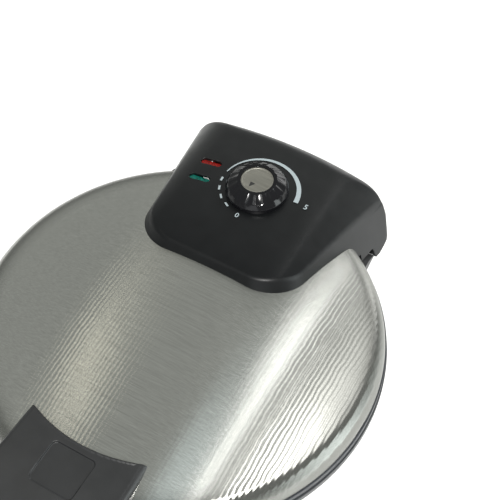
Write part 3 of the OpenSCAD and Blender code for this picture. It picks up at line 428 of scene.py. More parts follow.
MATERIALS = {
    "body_plastic": plastic("body_plastic", (0.022, 0.023, 0.025), 0.46, 0.5, 0.5),
    "hood_plastic": hood_plastic("hood_plastic"),
    "handle_plastic": plastic("handle_plastic", (0.016, 0.0165, 0.0175), 0.38, 0.4, 0.3),
    "hinge_plastic": plastic("hinge_plastic", (0.02, 0.0205, 0.0215), 0.45, 0.5, 0.4),
    "base_rim_plastic": plastic("base_rim_plastic", (0.03, 0.032, 0.034), 0.36, 0.4, 0.2),
    "rim_plastic": plastic("rim_plastic", (0.018, 0.02, 0.025), 0.34, 0.4, 0.2),
    "brushed_steel_lid": brushed_lid("brushed_steel_lid"),
    "zinc_steel": metal("zinc_steel", (0.55, 0.55, 0.56), 0.38),
    "pin_steel": metal("pin_steel", (0.6, 0.6, 0.61), 0.25, (1, 1, 0.1)),
    "aluminised_steel": metal("aluminised_steel", (0.62, 0.62, 0.61), 0.32, (0.2, 1, 1)),
    "element_sheath": metal("element_sheath", (0.16, 0.15, 0.14), 0.5),
    "non_stick": coated("non_stick"),
    "ceramic_white": plastic("ceramic_white", (0.7, 0.68, 0.62), 0.6, 0.6, 0.3, 0.04),
    "lamp_white": plastic("lamp_white", (0.78, 0.78, 0.76), 0.5, 0.5, 0.2, 0.03),
    "neon_glass": lamp_glass("neon_glass"),
    "foot_rubber": rubber("foot_rubber"),
    "lens_red": lens_plastic("lens_red", (0.07, 0.004, 0.003), (0.27, 0.013, 0.01)),
    "lens_green": lens_plastic("lens_green", (0.001, 0.035, 0.026), (0.006, 0.13, 0.1)),
    "knob_gloss": plastic("knob_gloss", (0.004, 0.004, 0.005), 0.13, 0.3, 0.02, shine=0.3),
    "cap_metal": metal("cap_metal", (0.36, 0.35, 0.31), 0.42, (0.05, 1, 1), 0.4),
    "dial_print": print_ink("dial_print", (0.33, 0.38, 0.4)),
    "pointer_print": print_ink("pointer_print", (0.02, 0.02, 0.02)),
}


# ----------------------------------------------------------------- mesh building

MOULD_STEP = 0.9
MOULD_MARGIN = 2.0
SOFT_ANGLE = math.radians(30.0)


def make_piece(name, points, faces, material, body, replaced=(), angle=35.0):
    """A smooth-shaded mesh piece from points in millimetres, riding on a body."""
    mesh = bpy.data.meshes.new(name)
    mesh.from_pydata([tuple(p) for p in np.asarray(points) * MM], [], [tuple(f) for f in faces])
    mesh.validate()
    mesh.update()
    for polygon in mesh.polygons:
        polygon.use_smooth = True
    if angle is not None:
        mesh.set_sharp_from_angle(angle=math.radians(angle))
    piece = bpy.data.objects.new(name, mesh)
    bpy.context.scene.collection.objects.link(piece)
    mesh.materials.append(MATERIALS[material])
    if replaced:
        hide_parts(*replaced)
    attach(piece, body)
    return piece


def lathe(profile, centre, steps, depth=None):
    """Points and faces of a closed outline of (radius, z) turned about an upright axis.

    depth(angle) gives, for each point of the outline, how far it moves inwards.
    """
    profile = np.asarray(profile, float)
    count = len(profile)
    points = []
    for i in range(steps):
        angle = 2 * math.pi * i / steps
        shift = depth(angle) if depth else 0.0
        radius = np.maximum(profile[:, 0] - shift, 0.0)
        x = centre[0] + radius * math.cos(angle)
        y = centre[1] + radius * math.sin(angle)
        points.append(np.column_stack([x, y, profile[:, 1]]))
    points = np.vstack(points)
    faces = []
    for i in range(steps):
        a, b = i * count, ((i + 1) % steps) * count
        for j in range(count):
            k = (j + 1) % count
            on_axis_j = profile[j, 0] < 1e-6
            on_axis_k = profile[k, 0] < 1e-6
            if on_axis_j and on_axis_k:
                continue
            if on_axis_j:
                faces.append((j, b + k, a + k))
            elif on_axis_k:
                faces.append((a + j, b + j, k))
            else:
                faces.append((a + j, b + j, b + k, a + k))
    return points, faces


def drop_loose(points, faces):
    """Leaves out the points that no face uses."""
    used = sorted({i for f in faces for i in f})
    at = {old: new for new, old in enumerate(used)}
    return points[used], [tuple(at[i] for i in f) for f in faces]


def arc(cx, cy, r, a0, a1, n):
    """n + 1 points of an arc, in degrees."""
    turn = np.radians(np.linspace(a0, a1, n + 1))
    return [(cx + r * math.cos(t), cy + r * math.sin(t)) for t in turn]


def rounded(outline, radii, n):
    """A closed outline with its corners rounded off in n steps: one radius for all, or one for each."""
    pts = [Vector(p) for p in outline]
    out = []
    for i, corner in enumerate(pts):
        r = radii[i] if isinstance(radii, (list, tuple)) else radii
        before = pts[i - 1] - corner
        after = pts[(i + 1) % len(pts)] - corner
        if r <= 0 or before.length < 1e-6 or after.length < 1e-6:
            out.append(tuple(corner))
            continue
        half = before.angle(after) / 2
        if half > math.radians(89):
            out.append(tuple(corner))
            continue
        cut = min(r / math.tan(half), 0.49 * before.length, 0.49 * after.length)
        start = corner + before.normalized() * cut
        end = corner + after.normalized() * cut
        for k in range(n + 1):
            t = k / n
            out.append(tuple((1 - t) ** 2 * start + 2 * t * (1 - t) * corner + t * t * end))
    return out


def surface_net(field, low, high, step):
    """Points and quads on the surface where a field of x, y, z crosses zero."""
    axes = [np.arange(low[i], high[i] + step, step) for i in range(3)]
    x, y, z = np.meshgrid(*axes, indexing="ij", sparse=False)
    value = field(x, y, z)
    inside = value < 0
    shape = [s - 1 for s in value.shape]
    corners = [(i, j, k) for i in (0, 1) for j in (0, 1) for k in (0, 1)]

    def corner(array, c):
        return array[c[0]:c[0] + shape[0], c[1]:c[1] + shape[1], c[2]:c[2] + shape[2]]

    count = sum(corner(inside, c).astype(np.int8) for c in corners)
    cells = np.argwhere((count > 0) & (count < 8))
    index = -np.ones(shape, dtype=np.int64)
    index[tuple(cells.T)] = np.arange(len(cells))
    total = np.zeros((len(cells), 3))
    hits = np.zeros(len(cells))
    for a in corners:
        for axis in range(3):
            if a[axis]:
                continue
            b = list(a)
            b[axis] = 1
            va = value[tuple((cells + a).T)]
            vb = value[tuple((cells + b).T)]
            cross = (va < 0) != (vb < 0)
            share = np.where(cross, va / np.where(cross, va - vb, 1.0), 0.0)
            spot = np.array(a, float)[None, :].repeat(len(cells), 0)
            spot[:, axis] += share
            total += spot * cross[:, None]
            hits += cross
    points = np.array([a[0] for a in axes]) + (cells + total / hits[:, None]) * step
    faces = []
    for axis in range(3):
        u, v = [(1, 2), (2, 0), (0, 1)][axis]
        first = [slice(None)] * 3
        second = [slice(None)] * 3
        first[axis] = slice(0, -1)
        second[axis] = slice(1, None)
        change = inside[tuple(first)] != inside[tuple(second)]
        spots = np.argwhere(change)
        keep = (spots[:, u] > 0) & (spots[:, v] > 0)
        keep &= (spots[:, u] < shape[u]) & (spots[:, v] < shape[v])
        spots = spots[keep]
        solid_first = inside[tuple(spots.T)]
        quad = []
        for du, dv in ((1, 1), (0, 1), (0, 0), (1, 0)):
            place = spots.copy()
            place[:, u] -= du
            place[:, v] -= dv
            quad.append(index[tuple(place.T)])
        quad = np.array(quad).T
        quad[~solid_first] = quad[~solid_first][:, ::-1]
        faces.append(quad)
    return points, np.vstack(faces)


def gradient(field, points):
    """The field's slope at each point."""
    reach = 0.04
    out = np.zeros_like(points)
    for axis in range(3):
        shift = np.zeros(3)
        shift[axis] = reach
        ahead = field(*(points + shift).T)
        behind = field(*(points - shift).T)
        out[:, axis] = (ahead - behind) / (2 * reach)
    return out


def moulded(name, field, low, high, material, body, replaced):
    """A piece with softly rounded edges, given as a field that is negative inside."""
    step = MOULD_STEP
    points, faces = surface_net(field, low - MOULD_MARGIN, high + MOULD_MARGIN, step)
    # a few steps along the slope bring the points onto the surface
    for _ in range(4):
        slope = gradient(field, points)
        size = np.maximum((slope**2).sum(1), 0.05)
        move = -(field(*points.T) / size)[:, None] * slope
        reach = np.linalg.norm(move, axis=1)
        move *= np.minimum(1.0, 0.6 * step / np.maximum(reach, 1e-9))[:, None]
        points = points + move
    piece = make_piece(name, points, faces, material, body, replaced, angle=None)
    normals = gradient(field, points)
    normals /= np.maximum(np.linalg.norm(normals, axis=1), 1e-9)[:, None]
    piece.data.normals_split_custom_set_from_vertices([tuple(n) for n in normals])


def soften(node, material, width, body, half_width=None):
    """A CAD node's own shape with its hard edges slightly rounded.

    half_width, where given, is as far from the middle as the piece may reach.
    """
    source = frame["nodes"][node]
    mesh = source.data.copy()
    mesh.materials.clear()
    piece = bpy.data.objects.new("soft_" + node, mesh)
    bpy.context.scene.collection.objects.link(piece)
    weld = piece.modifiers.new("weld", "WELD")
    weld.merge_threshold = 0.00002
    bevel = piece.modifiers.new("bevel", "BEVEL")
    bevel.width = width * MM
    bevel.segments = 2
    bevel.limit_method = "ANGLE"
    bevel.angle_limit = SOFT_ANGLE
    bevel.harden_normals = True
    depsgraph = bpy.context.evaluated_depsgraph_get()
    made = bpy.data.meshes.new_from_object(piece.evaluated_get(depsgraph))
    piece.modifiers.clear()
    piece.data = made
    if half_width is not None:
        for vertex in made.vertices:
            vertex.co.x = max(-half_width * MM, min(half_width * MM, vertex.co.x))
    for polygon in made.polygons:
        polygon.use_smooth = True
    made.set_sharp_from_angle(angle=SOFT_ANGLE)
    made.materials.clear()
    made.materials.append(MATERIALS[material])
    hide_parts(node)
    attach(piece, body)


# Fields: every function gives a distance that is negative inside the solid.


def both(a, b, r=0.0):
    """The part common to a and b, with the edge between them rounded."""
    if np.max(r) <= 0:
        return np.maximum(a, b)
    u = np.maximum(a + r, 0)
    v = np.maximum(b + r, 0)
    return np.minimum(-r, np.maximum(a, b)) + np.sqrt(u * u + v * v)


def either(a, b, r=0.0):
    """a and b together, with the groove between them filled."""
    return -both(-a, -b, r)


def without(a, b, r=0.0):
    """a with b cut out of it."""
    return both(a, -b, r)


def dome_field(x, y, z):
    """The inside of the dome's outer surface."""
    rho = np.hypot(x, y - PLATE_Y)
    rise = z - EDGE_Z
    crown = np.hypot(rho, rise - (DOME_H - CROWN_R)) - CROWN_R
    edge = np.hypot(np.maximum(rho - SPAN, 0), np.maximum(rise, 0)) - DOME_EDGE_R
    edge = np.where(rise < 0, rho - DOME_R, edge)
    on_crown = rho * math.sin(MEET_A) < (rise - (DOME_H - CROWN_R)) * math.cos(MEET_A)
    return np.where(on_crown & (rise > 0), crown, edge)


def fitted_to_lid(solid, x, y, z):
    """solid, cut to the dome, with room left for the rims below it."""
    rho = np.hypot(x, y - PLATE_Y)
    rims = both(rho - RIM_R - RIM_ROOM, z - EDGE_Z - RIM_ROOM)
    solid = without(solid, dome_field(x, y, z) + DOME_INSET)
    return without(solid, rims, RIM_ROOM)


# -------------------------------------------------------------------- steel dome


def add_dome():
    """The dome's shell, with its edge rounded down until it stands upright at the lower rim."""
    crown_z = DOME_H - CROWN_R
    meet = math.degrees(MEET_A)
    outer = arc(0, crown_z, CROWN_R, 90, meet, 48) + arc(SPAN, 0, DOME_EDGE_R, meet, 0, 24)[1:]
    inner = arc(SPAN, 0, DOME_EDGE_R - STEEL_T, 0, meet, 16)
    inner += arc(0, crown_z, CROWN_R - STEEL_T, meet, 90, 24)[1:]
    outer[0] = (0.0, outer[0][1])
    inner[-1] = (0.0, inner[-1][1])
    profile = [(r, EDGE_Z + z) for r, z in outer + inner]
    points, faces = drop_loose(*lathe(profile, (0, PLATE_Y), LATHE_STEPS))
    dome = make_piece("steel_dome", points, faces, "brushed_steel_lid", "lid", ("lid_dome",), angle=40)
    layer = dome.data.uv_layers.new(name="across")
    for loop in dome.data.loops:
        spot = dome.data.vertices[loop.vertex_index].co
        layer.data[loop.index].uv = (spot.y, -spot.x)


add_dome()


# --------------------------------------------------------------------- lid's rim


def add_lid_ring():
    """The lid's rim: a lip outside, a collar inside the dome and a ledge over the plate."""
    low = EDGE_Z - LID_RIM_H
    lip = RIM_R - RIM_LIP
    ledge = RIM_LEDGE_R
    collar = ledge + 12
    gutter = ledge + GUTTER_W
    wall = 3
    outline = [
        (lip, low), (LID_RIM_R, low), (LID_RIM_R, EDGE_Z), (collar, EDGE_Z),
        (collar, EDGE_Z + wall), (ledge, EDGE_Z + wall), (ledge, EDGE_Z),
        (gutter, EDGE_Z), (gutter, EDGE_Z - wall), (lip, EDGE_Z - wall),
    ]
    profile = rounded(outline, [0.3, 0.7, 1.0, 0, 0.3, 0.3, 0, 0.3, 0.3, 0], 4)
    points, faces = lathe(profile, (0, PLATE_Y), LATHE_STEPS)
    make_piece("lid_rim", points, faces, "rim_plastic", "lid", ("lid_ring",))


add_lid_ring()


# ------------------------------------------------------------------ control hood

HOOD_LOW_RISE = -EAR_DROP - 1
HOOD_H = PANEL_RISE - HOOD_LOW_RISE
LOW_LENGTH = HOOD_REAR - (PANEL_FRONT - FRONT_LEAN * HOOD_H)
TOP_SCALE_Y = (HOOD_REAR - PANEL_FRONT) / LOW_LENGTH
LOW_REAR_HALF = REAR_HALF + SIDE_LEAN * HOOD_H
TOP_SCALE_X = REAR_HALF / LOW_REAR_HALF
LOW_FRONT_HALF = FRONT_HALF / TOP_SCALE_X
LOW_CORNER_R = FRONT_CORNER_R / TOP_SCALE_X
FRONT_CENTRE = (LOW_FRONT_HALF - LOW_CORNER_R, LOW_CORNER_R - LOW_LENGTH)
REAR_CENTRE_X = LOW_REAR_HALF - REAR_CORNER_R
REAR_CENTRE_Y = math.sqrt((REAR_ARC_R - REAR_CORNER_R) ** 2 - REAR_CENTRE_X**2) - REAR_ARC_R


def side_turn():
    """How far the low outline's straight side, tangent to both corners, turns from Y."""
    dx = REAR_CENTRE_X - FRONT_CENTRE[0]
    dy = REAR_CENTRE_Y - FRONT_CENTRE[1]
    return math.acos((LOW_CORNER_R - REAR_CORNER_R) / math.hypot(dx, dy)) - math.atan2(dy, dx)


SIDE_TURN = side_turn()


def hood_walls(x, y, z):
    """The hood's leaning sides and front: their low outline, drawn smaller with height.

    The lean makes the field steeper than a distance, which the last factor evens out.
    """
    lean_factor = 0.9
    share = (z - EDGE_Z - HOOD_LOW_RISE) / HOOD_H
    scale_x = 1 - (1 - TOP_SCALE_X) * share
    scale_y = 1 - (1 - TOP_SCALE_Y) * share
    across = np.abs(x) / scale_x
    along = (y - PLATE_Y - HOOD_REAR) / scale_y
    normal = (math.cos(SIDE_TURN), -math.sin(SIDE_TURN))
    side = (across - FRONT_CENTRE[0]) * normal[0] + (along - FRONT_CENTRE[1]) * normal[1]
    side -= LOW_CORNER_R
    front = -(along + LOW_LENGTH)
    return both(side, front, LOW_CORNER_R) * lean_factor


def hood_rear(x, y):
    """The upright rear wall, bowed in plan."""
    return np.hypot(x, y - PLATE_Y - HOOD_REAR + REAR_ARC_R) - REAR_ARC_R


def hood_top(x, y, z):
    """The arched panel with its rolled rear edge."""
    past_flat = np.maximum(np.abs(x) - PANEL_FLAT_HALF, 0)
    arch = np.hypot(past_flat, np.maximum(z - PANEL_Z + SHOULDER_R, 0)) - SHOULDER_R
    # the shoulder fades out below the ridge where it meets the leaning walls
    arch = arch - RIDGE_FADE * np.maximum(PANEL_Z - RIDGE_DROP - z, 0)
    far_inside = -20.0
    arch = np.where(z < PANEL_Z - SHOULDER_SPAN, far_inside, arch)
    past_rear = np.maximum(hood_rear(x, y) + ROLL_R, 0)
    roll = np.hypot(past_rear, np.maximum(z - PANEL_Z + ROLL_R, 0)) - ROLL_R
    return both(arch, roll, ARCH_TO_ROLL_R)


def capsule_field(x, y, at_x, at_y, length, width, turn):
    """An upright slot with round ends, turned in plan."""
    c, s = math.cos(math.radians(turn)), math.sin(math.radians(turn))
    u = (x - at_x) * c + (y - at_y) * s
    v = -(x - at_x) * s + (y - at_y) * c
    return np.hypot(np.maximum(np.abs(u) - (length - width) / 2, 0), v) - width / 2


def hood_field(x, y, z):
    """The hollow hood with its ears, its windows' slots and the shaft's hole."""
    # the panel's edge gets softer over the last stretch towards the front
    soft_from, soft_over = 34, 30
    front_share = np.clip((PLATE_Y + PANEL_FRONT + soft_from - y) / soft_over, 0, 1)
    edge_r = TOP_EDGE_R + (FRONT_EDGE_R - TOP_EDGE_R) * front_share
    # the rear corner is crisp under the panel and gets rounder towards its foot
    corner_r = REAR_CORNER_R + REAR_CORNER_GROWTH * np.clip(EDGE_Z + 8 - z, 0, 20)
    outer = both(hood_walls(x, y, z), hood_top(x, y, z), np.maximum(edge_r, corner_r))
    shell = without(outer, outer + HOOD_T)
    behind = y - PLATE_Y - HINGE_BACK
    rise = z - EDGE_Z
    # lower edges: along the sides in front of the ears, and across the rear, where the
    # outer corners lie a little higher
    corner_lift = np.clip(0.3 * (behind + 5), 0, 5) * (np.abs(x) > EAR_X - 8)
    low_edge = np.where(behind < EAR_FRONT, -SIDE_FOOT - rise, corner_lift - HOOD_DROP - rise)
    shell = both(shell, low_edge, 0.5)
    # ears outside the hinge arms, with a round foot about the hinge axis
    drop = rise - HINGE_RISE
    ear = np.hypot(np.maximum(behind + 7, 0), np.minimum(drop, 0)) - (EAR_FOOT + HINGE_RISE)
    ear = both(both(ear, EAR_FRONT - behind, 0.8), both(drop - 8, behind - 5, 0.5), 0.5)
    ear = both(both(ear, outer), EAR_X - np.abs(x), 0.5)
    solid = np.minimum(shell, ear)
    solid = fitted_to_lid(solid, x, y, z)
    hole_floor = PANEL_Z - HOLE_DEPTH - z
    for back in WINDOW_BACKS:
        hole = capsule_field(x, y, WINDOW_X, PLATE_Y + back, WINDOW_L, WINDOW_W, WINDOW_TURN)
        solid = without(solid, both(hole, hole_floor), 0.5)
    shaft = np.hypot(x, y - KNOB_Y) - SHAFT_HOLE_R
    return without(solid, both(shaft, hole_floor))


moulded("control_housing", hood_field, hood_low, hood_high, "hood_plastic", "lid", ("control_hood",))


# ------------------------------------------------------------------ lamp windows


def add_lens(name, back, material, node):
    """A window with a gently crowned face, sunk in its slot."""
    low = PANEL_Z - 6.2
    top = PANEL_Z - 3.6
    crown = 0.4
    rows = 9
    straight = (WINDOW_L - WINDOW_W) / 2
    half = WINDOW_W / 2 - 0.1
    outline = arc(straight, 0, half, -90, 90, 14) + arc(-straight, 0, half, 90, 270, 14)
    rings = [[(px, py, low) for px, py in outline]]
    for row in range(rows + 1):
        share = math.cos(math.pi / 2 * row / rows)
        lift = math.sin(math.pi / 2 * row / rows)
        ring = []
        for px, py in outline:
            anchor = max(-straight, min(straight, px))
            ring.append((anchor + (px - anchor) * share, py * share, top - crown + crown * lift))
        rings.append(ring)
    turn = math.radians(WINDOW_TURN)
    points = []
    for ring in rings:
        for px, py, pz in ring:
            x = WINDOW_X + px * math.cos(turn) - py * math.sin(turn)
            y = PLATE_Y + back + px * math.sin(turn) + py * math.cos(turn)
            points.append((x, y, pz))
    faces = []
    n = len(outline)
    for row in range(len(rings) - 1):
        for i in range(n):
            a = row * n + i
            b = row * n + (i + 1) % n
            faces.append((a, b, b + n, a + n))
    faces.append(tuple(range(n - 1, -1, -1)))
    make_piece(name, points, faces, material, "lid", (node,), angle=50)


add_lens("red_window", WINDOW_BACKS[0], "lens_red", "red_lens")
add_lens("green_window", WINDOW_BACKS[1], "lens_green", "green_lens")


# -------------------------------------------------------------------------- knob

FLUTES = 16
FLUTE_DEPTH = 1.5
FLUTE_HALF = 0.33
CAP_SEAT_DEPTH = 1.0
CAP_FACE_DEPTH = 0.3


def add_knob():
    """Black body with a smooth skirt, a fluted bevel and a flat ring round the cap."""
    low = knob_low[2]
    seat = CAP_TOP - CAP_SEAT_DEPTH
    outline = [
        (0, low), (KNOB_R, low), (KNOB_R, PANEL_Z + 4.4), (KNOB_R - 2.4, PANEL_Z + 8.6),
        (KNOB_R - 3.0, PANEL_Z + 9.2), (CAP_R + 3.2, knob_high[2]), (CAP_R + 0.1, knob_high[2]),
        (CAP_R + 0.1, seat), (0, seat),
    ]
    profile = np.array(rounded(outline, [0, 0.5, 3.0, 0.6, 0.6, 0.9, 0.3, 0, 0], 7))
    # the flutes are deepest half way up the bevel and die out at both ends
    start, end = KNOB_R - 2.0, CAP_R + 2.2
    share = np.clip((start - profile[:, 0]) / (start - end), 0, 1)
    deep = np.where((profile[:, 1] > PANEL_Z + 6) & (profile[:, 0] > end), np.sin(math.pi * share), 0)

    def depth(angle):
        phase = (angle * FLUTES / (2 * math.pi)) % 1.0
        wave = max(0.0, 1 - (abs(phase - 0.5) / FLUTE_HALF) ** 2)
        return FLUTE_DEPTH * deep * wave

    points, faces = drop_loose(*lathe(profile, (0, KNOB_Y), FLUTES * 20, depth))
    make_piece("knob", points, faces, "knob_gloss", "knob", ("knob_body",), angle=50)


def add_cap():
    """Metal cap with a raised rim round its turned face."""
    low = CAP_TOP - CAP_SEAT_DEPTH
    face = CAP_TOP - CAP_FACE_DEPTH
    outline = [
        (0, low), (CAP_R, low), (CAP_R, CAP_TOP), (CAP_R - 1.3, CAP_TOP),
        (CAP_R - 1.5, face), (0, face),
    ]
    profile = rounded(outline, [0, 0.1, 0.4, 0.15, 0.15, 0], 4)
    points, faces = drop_loose(*lathe(profile, (0, KNOB_Y), 128))
    make_piece("knob_cap_face", points, faces, "cap_metal", "knob", ("knob_cap",), angle=40)


PRINT_T = 0.04


def flat_print(name, outline, z, material, body):
    """A printed mark: a very thin plate."""
    n = len(outline)
    points = [(x, y, z) for x, y in outline] + [(x, y, z + PRINT_T) for x, y in outline]
    faces = [tuple(range(n - 1, -1, -1)), tuple(range(n, 2 * n))]
    faces += [(i, (i + 1) % n, n + (i + 1) % n, n + i) for i in range(n)]
    make_piece(name, points, faces, material, body, angle=30)


add_knob()
add_cap()
pointer = [(x, KNOB_Y + y) for x, y in ((-2.6, -9.7), (0.9, -4.6), (-3.7, -4.1))]
flat_print("pointer", pointer, CAP_TOP - CAP_FACE_DEPTH, "pointer_print", "knob")


# -------------------------------------------------------------------- dial marks

SCALE_X = 0.75
SCALE_Y = KNOB_Y + 1.6
DASH_SHIFT = -2.1
DASHES = ((-121, 28.6), (-140, 30.0), (-157, 31.2), (-174.5, 31.8))
BAND_FROM = 173
BAND_TO = 4
TEXT_SIZE_TO_HEIGHT = 1.38


def sector(inner, outer, a0, a1):
    """Outline of a dash between two angles, in degrees, about the dashes' centre."""
    centre_y = SCALE_Y + DASH_SHIFT
    return arc(SCALE_X, centre_y, outer, a0, a1, 24) + arc(SCALE_X, centre_y, inner, a1, a0, 24)


def add_scale():
    """Four dashes, each a little narrower and deeper, and a band that swells to the right."""
    z = PANEL_Z + 0.01
    for i, (angle, inner) in enumerate(DASHES):
        half = 4.6 - 0.3 * i
        outline = sector(inner, inner + 1.5 + 0.1 * i, angle - half, angle + half)
        flat_print(f"scale_dash_{i + 1}", outline, z, "dial_print", "lid")
    n = 60
    turns = np.linspace(BAND_FROM, BAND_TO, n + 1)
    outer = [arc(SCALE_X, SCALE_Y, 33.6 + 1.8 * i / n, t, t, 0)[0] for i, t in enumerate(turns)]
    inner = [arc(SCALE_X, SCALE_Y, 32.6 - 1.4 * i / n, t, t, 0)[0] for i, t in enumerate(turns)]
    flat_print("scale_band", outer + inner[::-1], z, "dial_print", "lid")


def add_number(text, x, y, height):
    """A plain printed number on the panel."""
    curve = bpy.data.curves.new("number_" + text, "FONT")
    curve.body = text
    curve.size = height * TEXT_SIZE_TO_HEIGHT * MM
    curve.align_x = "CENTER"
    curve.align_y = "CENTER"
    curve.extrude = 0.00002
    curve.offset = 0.0001
    holder = bpy.data.objects.new("number_" + text, curve)
    bpy.context.scene.collection.objects.link(holder)
    holder.location = (x * MM, (KNOB_Y + y) * MM, (PANEL_Z + 0.03) * MM)
    depsgraph = bpy.context.evaluated_depsgraph_get()
    mesh = bpy.data.meshes.new_from_object(holder.evaluated_get(depsgraph))
    mesh.transform(holder.matrix_basis)
    bpy.data.objects.remove(holder)
    piece = bpy.data.objects.new("number_" + text, mesh)
    bpy.context.scene.collection.objects.link(piece)
    mesh.materials.clear()
    mesh.materials.append(MATERIALS["dial_print"])
    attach(piece, "lid")


add_scale()
add_number("0", -1.2, -31.5, 4.6)
add_number("5", 43.6, 3.6, 5.2)


# ------------------------------------------------------------------- lid handle


def handle_field(x, y, z):
    """The front handle: flat on top, sloping down to a blunt tip, over the rim."""
    fore = PLATE_Y - y
    rise = z - EDGE_Z
    across = np.abs(x)
    rim = RIM_R + 4
    faces = [
        rise - HANDLE_RISE,  # top
        0.2725 * (fore - rim) + 0.9622 * (rise - 15) - 10,  # slope down to the tip
        fore - HANDLE_REACH,  # tip
        0.19 * (fore - 204) - 0.982 * (rise - 8) - 8,  # underside
        -5.5 - rise,  # foot
        0.357 * (fore - rim) + 0.934 * (across - 44) - 10,  # sides that taper to the tip
        -0.05 * (fore - 132) + 0.9987 * (across - 44) - 8,  # sides beside the dome
        0.9615 * (across - 49) - 0.2747 * (rise + 2.5),  # sides that lean outwards
    ]
    r = 6.0
    deep = np.full_like(rise, -1e9)
    total = np.zeros_like(rise)
    for face in faces:
        deep = np.maximum(deep, face)
        total += np.maximum(face + r, 0) ** 2
    solid = np.minimum(-r, deep) + np.sqrt(total)
    rho = np.hypot(x, fore)
    # a thin raised lip along the inner edge
    lip = both(both(HANDLE_INNER - rho, rho - HANDLE_INNER - 1.7), rise - HANDLE_RISE - 0.5, 0.5)
    lip = both(lip, across - 43, 1.5)
    hollow = both(both(solid + 3.0, rise - HANDLE_RISE + 7, 2.0), RIM_R + 3 - rho, 1.0)
    solid = both(either(solid, lip, 0.4), HANDLE_INNER - rho, 0.5)
    solid = without(solid, hollow, 0.5)
    underside = both(both(across - 38, fore - 203, 3.0), both(RIM_R + 4 - rho, rise - 10, 2.0), 2.0)
    solid = without(solid, underside, 0.8)
    # the thumb recess
    recess_half, recess_start, recess_end, recess_depth, corner = 18.5, 134.5, 168.0, 1.8, 4.0
    u = np.abs(fore - (recess_start + recess_end) / 2) - (recess_end - recess_start) / 2
    recess = both(u, across - recess_half, corner)
    solid = without(solid, both(recess, HANDLE_RISE - recess_depth - rise, 0.6), 0.6)
    return fitted_to_lid(solid, x, y, z)


moulded("front_handle", handle_field, handle_low, handle_high, "handle_plastic", "lid", ("lid_handle",))


# ----------------------------------------------------------- base's rim and shell


def add_base_ring():
    """The base's rim with the gutter and the ledge inside it."""
    top = base_ring_high[2]
    rim_low = top - BASE_RIM_H
    ledge_low = base_ring_low[2]
    lip = RIM_R - RIM_LIP
    ledge = RIM_LEDGE_R
    gutter = ledge + GUTTER_W
    skirt = 158.5
    wall = 3
    outline = [
        (ledge, ledge_low), (skirt - 0.6, ledge_low), (skirt, rim_low), (BASE_RIM_R, rim_low),
        (BASE_RIM_R, top), (lip, top), (lip, rim_low + wall),
        (gutter, rim_low + wall), (gutter, ledge_low + wall), (ledge, ledge_low + wall),
    ]
    radii = [0.3, 0.1, 0.8, 0.8, 0.7, 0.5, 1.0, 0.5, 0.5, 0.3]
    points, faces = lathe(rounded(outline, radii, 5), (0, PLATE_Y), LATHE_STEPS)
    make_piece("base_rim", points, faces, "base_rim_plastic", "base", ("base_ring",))


def add_base_shell():
    """The base's tapered wall with the flange that the bottom cover is screwed to."""
    low = shell_low[2]
    top = shell_high[2]
    low_r, top_r, wall, flange = 151.0, 157.9, 3.0, 12
    outline = [
        (low_r - flange, low), (low_r, low), (top_r, top), (top_r - wall, top),
        (low_r - wall, low + wall), (low_r - flange, low + wall),
    ]
    radii = [0.3, 3.0, 0.1, 0.1, 1.0, 0.3]
    points, faces = lathe(rounded(outline, radii, 5), (0, PLATE_Y), LATHE_STEPS)
    make_piece("base_body", points, faces, "body_plastic", "base", ("base_shell",))


add_base_ring()
add_base_shell()


# ------------------------------------- CAD pieces that keep their own plain shape

SOFTENED = {
    "base_handle": ("handle_plastic", 0.3),
    "hood_floor": ("hinge_plastic", 0.4),
    "cord_gland": ("handle_plastic", 0.3),
    "rubber_feet": ("foot_rubber", 0.4),
    "lower_plate": ("non_stick", 0.4),
    "upper_plate": ("non_stick", 0.4),
}

body_of = {}
for body_name, nodes in frame["record"]["behaviour"]["bodies"].items():
    for node_name in nodes:
        body_of[node_name] = body_name

slot_of = {s["node"]: s["material_slot"] for s in frame["record"]["subparts"]}

for node_name, (material_name, edge) in SOFTENED.items():
    soften(node_name, material_name, edge, body_of[node_name])

soften("hinge_bracket", "hinge_plastic", 0.6, "base", half_width=EAR_X + 0.1)


# outlines about the hinge axis, (back, up), of the lug and of the web below it
LUG = ((-34, 1), (-26.5, 1.5), (-17.5, -1.3), (-14.6, -4), (-22, -5.7), (-28.3, -9), (-34, -12))
LUG_OUTER_X = 100.0
WEB = ((-22, -4), (-15, -4), (-11.5, -10), (-6, -15), (-8, -18), (-22, -18))
WEB_INNER_X = EAR_X - 4
WEB_OUTER_X = 96.5


def add_hinge_lugs():
    """The bracket's outer ends, which close the gap under the hood's side walls."""
    points, faces = [], []
    for outline, x_in, x_out in ((LUG, EAR_X, LUG_OUTER_X), (WEB, WEB_INNER_X, WEB_OUTER_X)):
        shape = rounded(outline, 0.6, 3)
        n = len(shape)
        for side in (-1, 1):
            first = len(points)
            for x in (x_in, x_out):
                for behind, drop in shape:
                    points.append((side * x, PLATE_Y + HINGE_BACK + behind, EDGE_Z + HINGE_RISE + drop))
            ends = [tuple(range(n)), tuple(range(2 * n - 1, n - 1, -1))]
            walls = [(i, i + n, (i + 1) % n + n, (i + 1) % n) for i in range(n)]
            for face in ends + walls:
                loop = face if side > 0 else face[::-1]
                faces.append(tuple(first + i for i in loop))
    make_piece("hinge_lugs", points, faces, "hinge_plastic", "base")


add_hinge_lugs()

for node_name, node in frame["nodes"].items():
    if node.hide_render:
        continue
    node.data.materials.clear()
    node.data.materials.append(MATERIALS[slot_of[node_name]])


# ---------------------------------------------------------------- floor and light


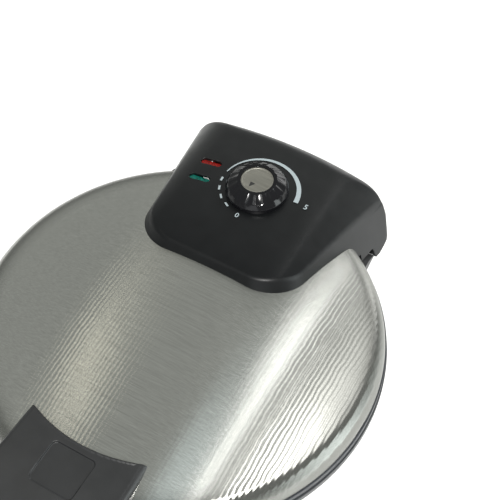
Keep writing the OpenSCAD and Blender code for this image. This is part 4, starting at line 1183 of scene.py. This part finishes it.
def add_floor():
    """A pale paper floor."""
    size = 6.0
    mesh = bpy.data.meshes.new("floor")
    corners = [(-size, -size, 0), (size, -size, 0), (size, size, 0), (-size, size, 0)]
    mesh.from_pydata(corners, [], [(0, 1, 2, 3)])
    floor = bpy.data.objects.new("floor", mesh)
    bpy.context.scene.collection.objects.link(floor)
    s = Shader("floor_paper")
    dark, light = (0.93, 0.93, 0.93), (0.97, 0.97, 0.97)
    s.link(s.ramp(s.noise(3, 2), [(0.3, dark), (0.7, light)]), s.shader.inputs["Base Color"])
    s.set(Roughness=0.9, Specular_IOR_Level=0.1)
    mesh.materials.append(s.material)


def area_light(name, at, aim, size_x, size_y, power, colour=(1, 1, 1), spin=0.0):
    """A rectangular light, aimed at a point and turned by spin about its own axis."""
    data = bpy.data.lights.new(name, "AREA")
    data.shape = "RECTANGLE"
    data.size = size_x
    data.size_y = size_y
    data.energy = power
    data.color = colour
    light = bpy.data.objects.new(name, data)
    aimed = (Vector(aim) - Vector(at)).to_track_quat("-Z", "Y").to_matrix().to_4x4()
    light.matrix_world = Matrix.Translation(at) @ aimed @ Matrix.Rotation(spin, 4, "Z")
    bpy.context.scene.collection.objects.link(light)


def add_world():
    """An even, faint light from all round."""
    world = bpy.data.worlds.new("studio")
    world.use_nodes = True
    background = world.node_tree.nodes["Background"]
    background.inputs["Color"].default_value = (0.97, 1.0, 0.96, 1)
    background.inputs["Strength"].default_value = 0.45
    bpy.context.scene.world = world


add_floor()
add_world()
# the strips make the streaks on the steel, and the softboxes light the rest
area_light("overhead_strip", (0.21, 0.0, 1.7), (0.21, 0, 0), 0.04, 3.0, 1.5)
area_light("halo_strip", (0.06, -0.7, 1.7), (0.06, -0.7, 0), 0.22, 1.8, 0.8, (0.8, 0.95, 1.0))
area_light("glow_strip", (0.14, 0.9, 1.5), (0.06, 0.08, 0.1), 0.14, 0.4, 0.6)
area_light("warm_strip", (-0.7, 0.07, 1.32), (-0.7, 0.07, 0), 0.08, 0.8, 0.5, (1.0, 0.95, 0.78), 0.52)
area_light("front_softbox", (0.6, -2.2, 0.5), (0, 0, 0.1), 1.6, 0.6, 4, (0.95, 0.98, 1.0))
area_light("side_softbox", (2.2, 0.4, 0.8), (0, 0, 0.1), 0.8, 1.6, 20, (0.92, 1.0, 1.0))
area_light("camera_softbox", (1.2, -2.0, 3.2), (0, 0, 0.1), 0.6, 0.6, 190, (1.0, 0.99, 0.97))
area_light("rear_softbox", (0.3, 2.2, 0.5), (0, 0, 0.1), 1.6, 0.6, 9)

bpy.context.scene.view_settings.view_transform = "Standard"
bpy.context.scene.view_settings.look = "None"
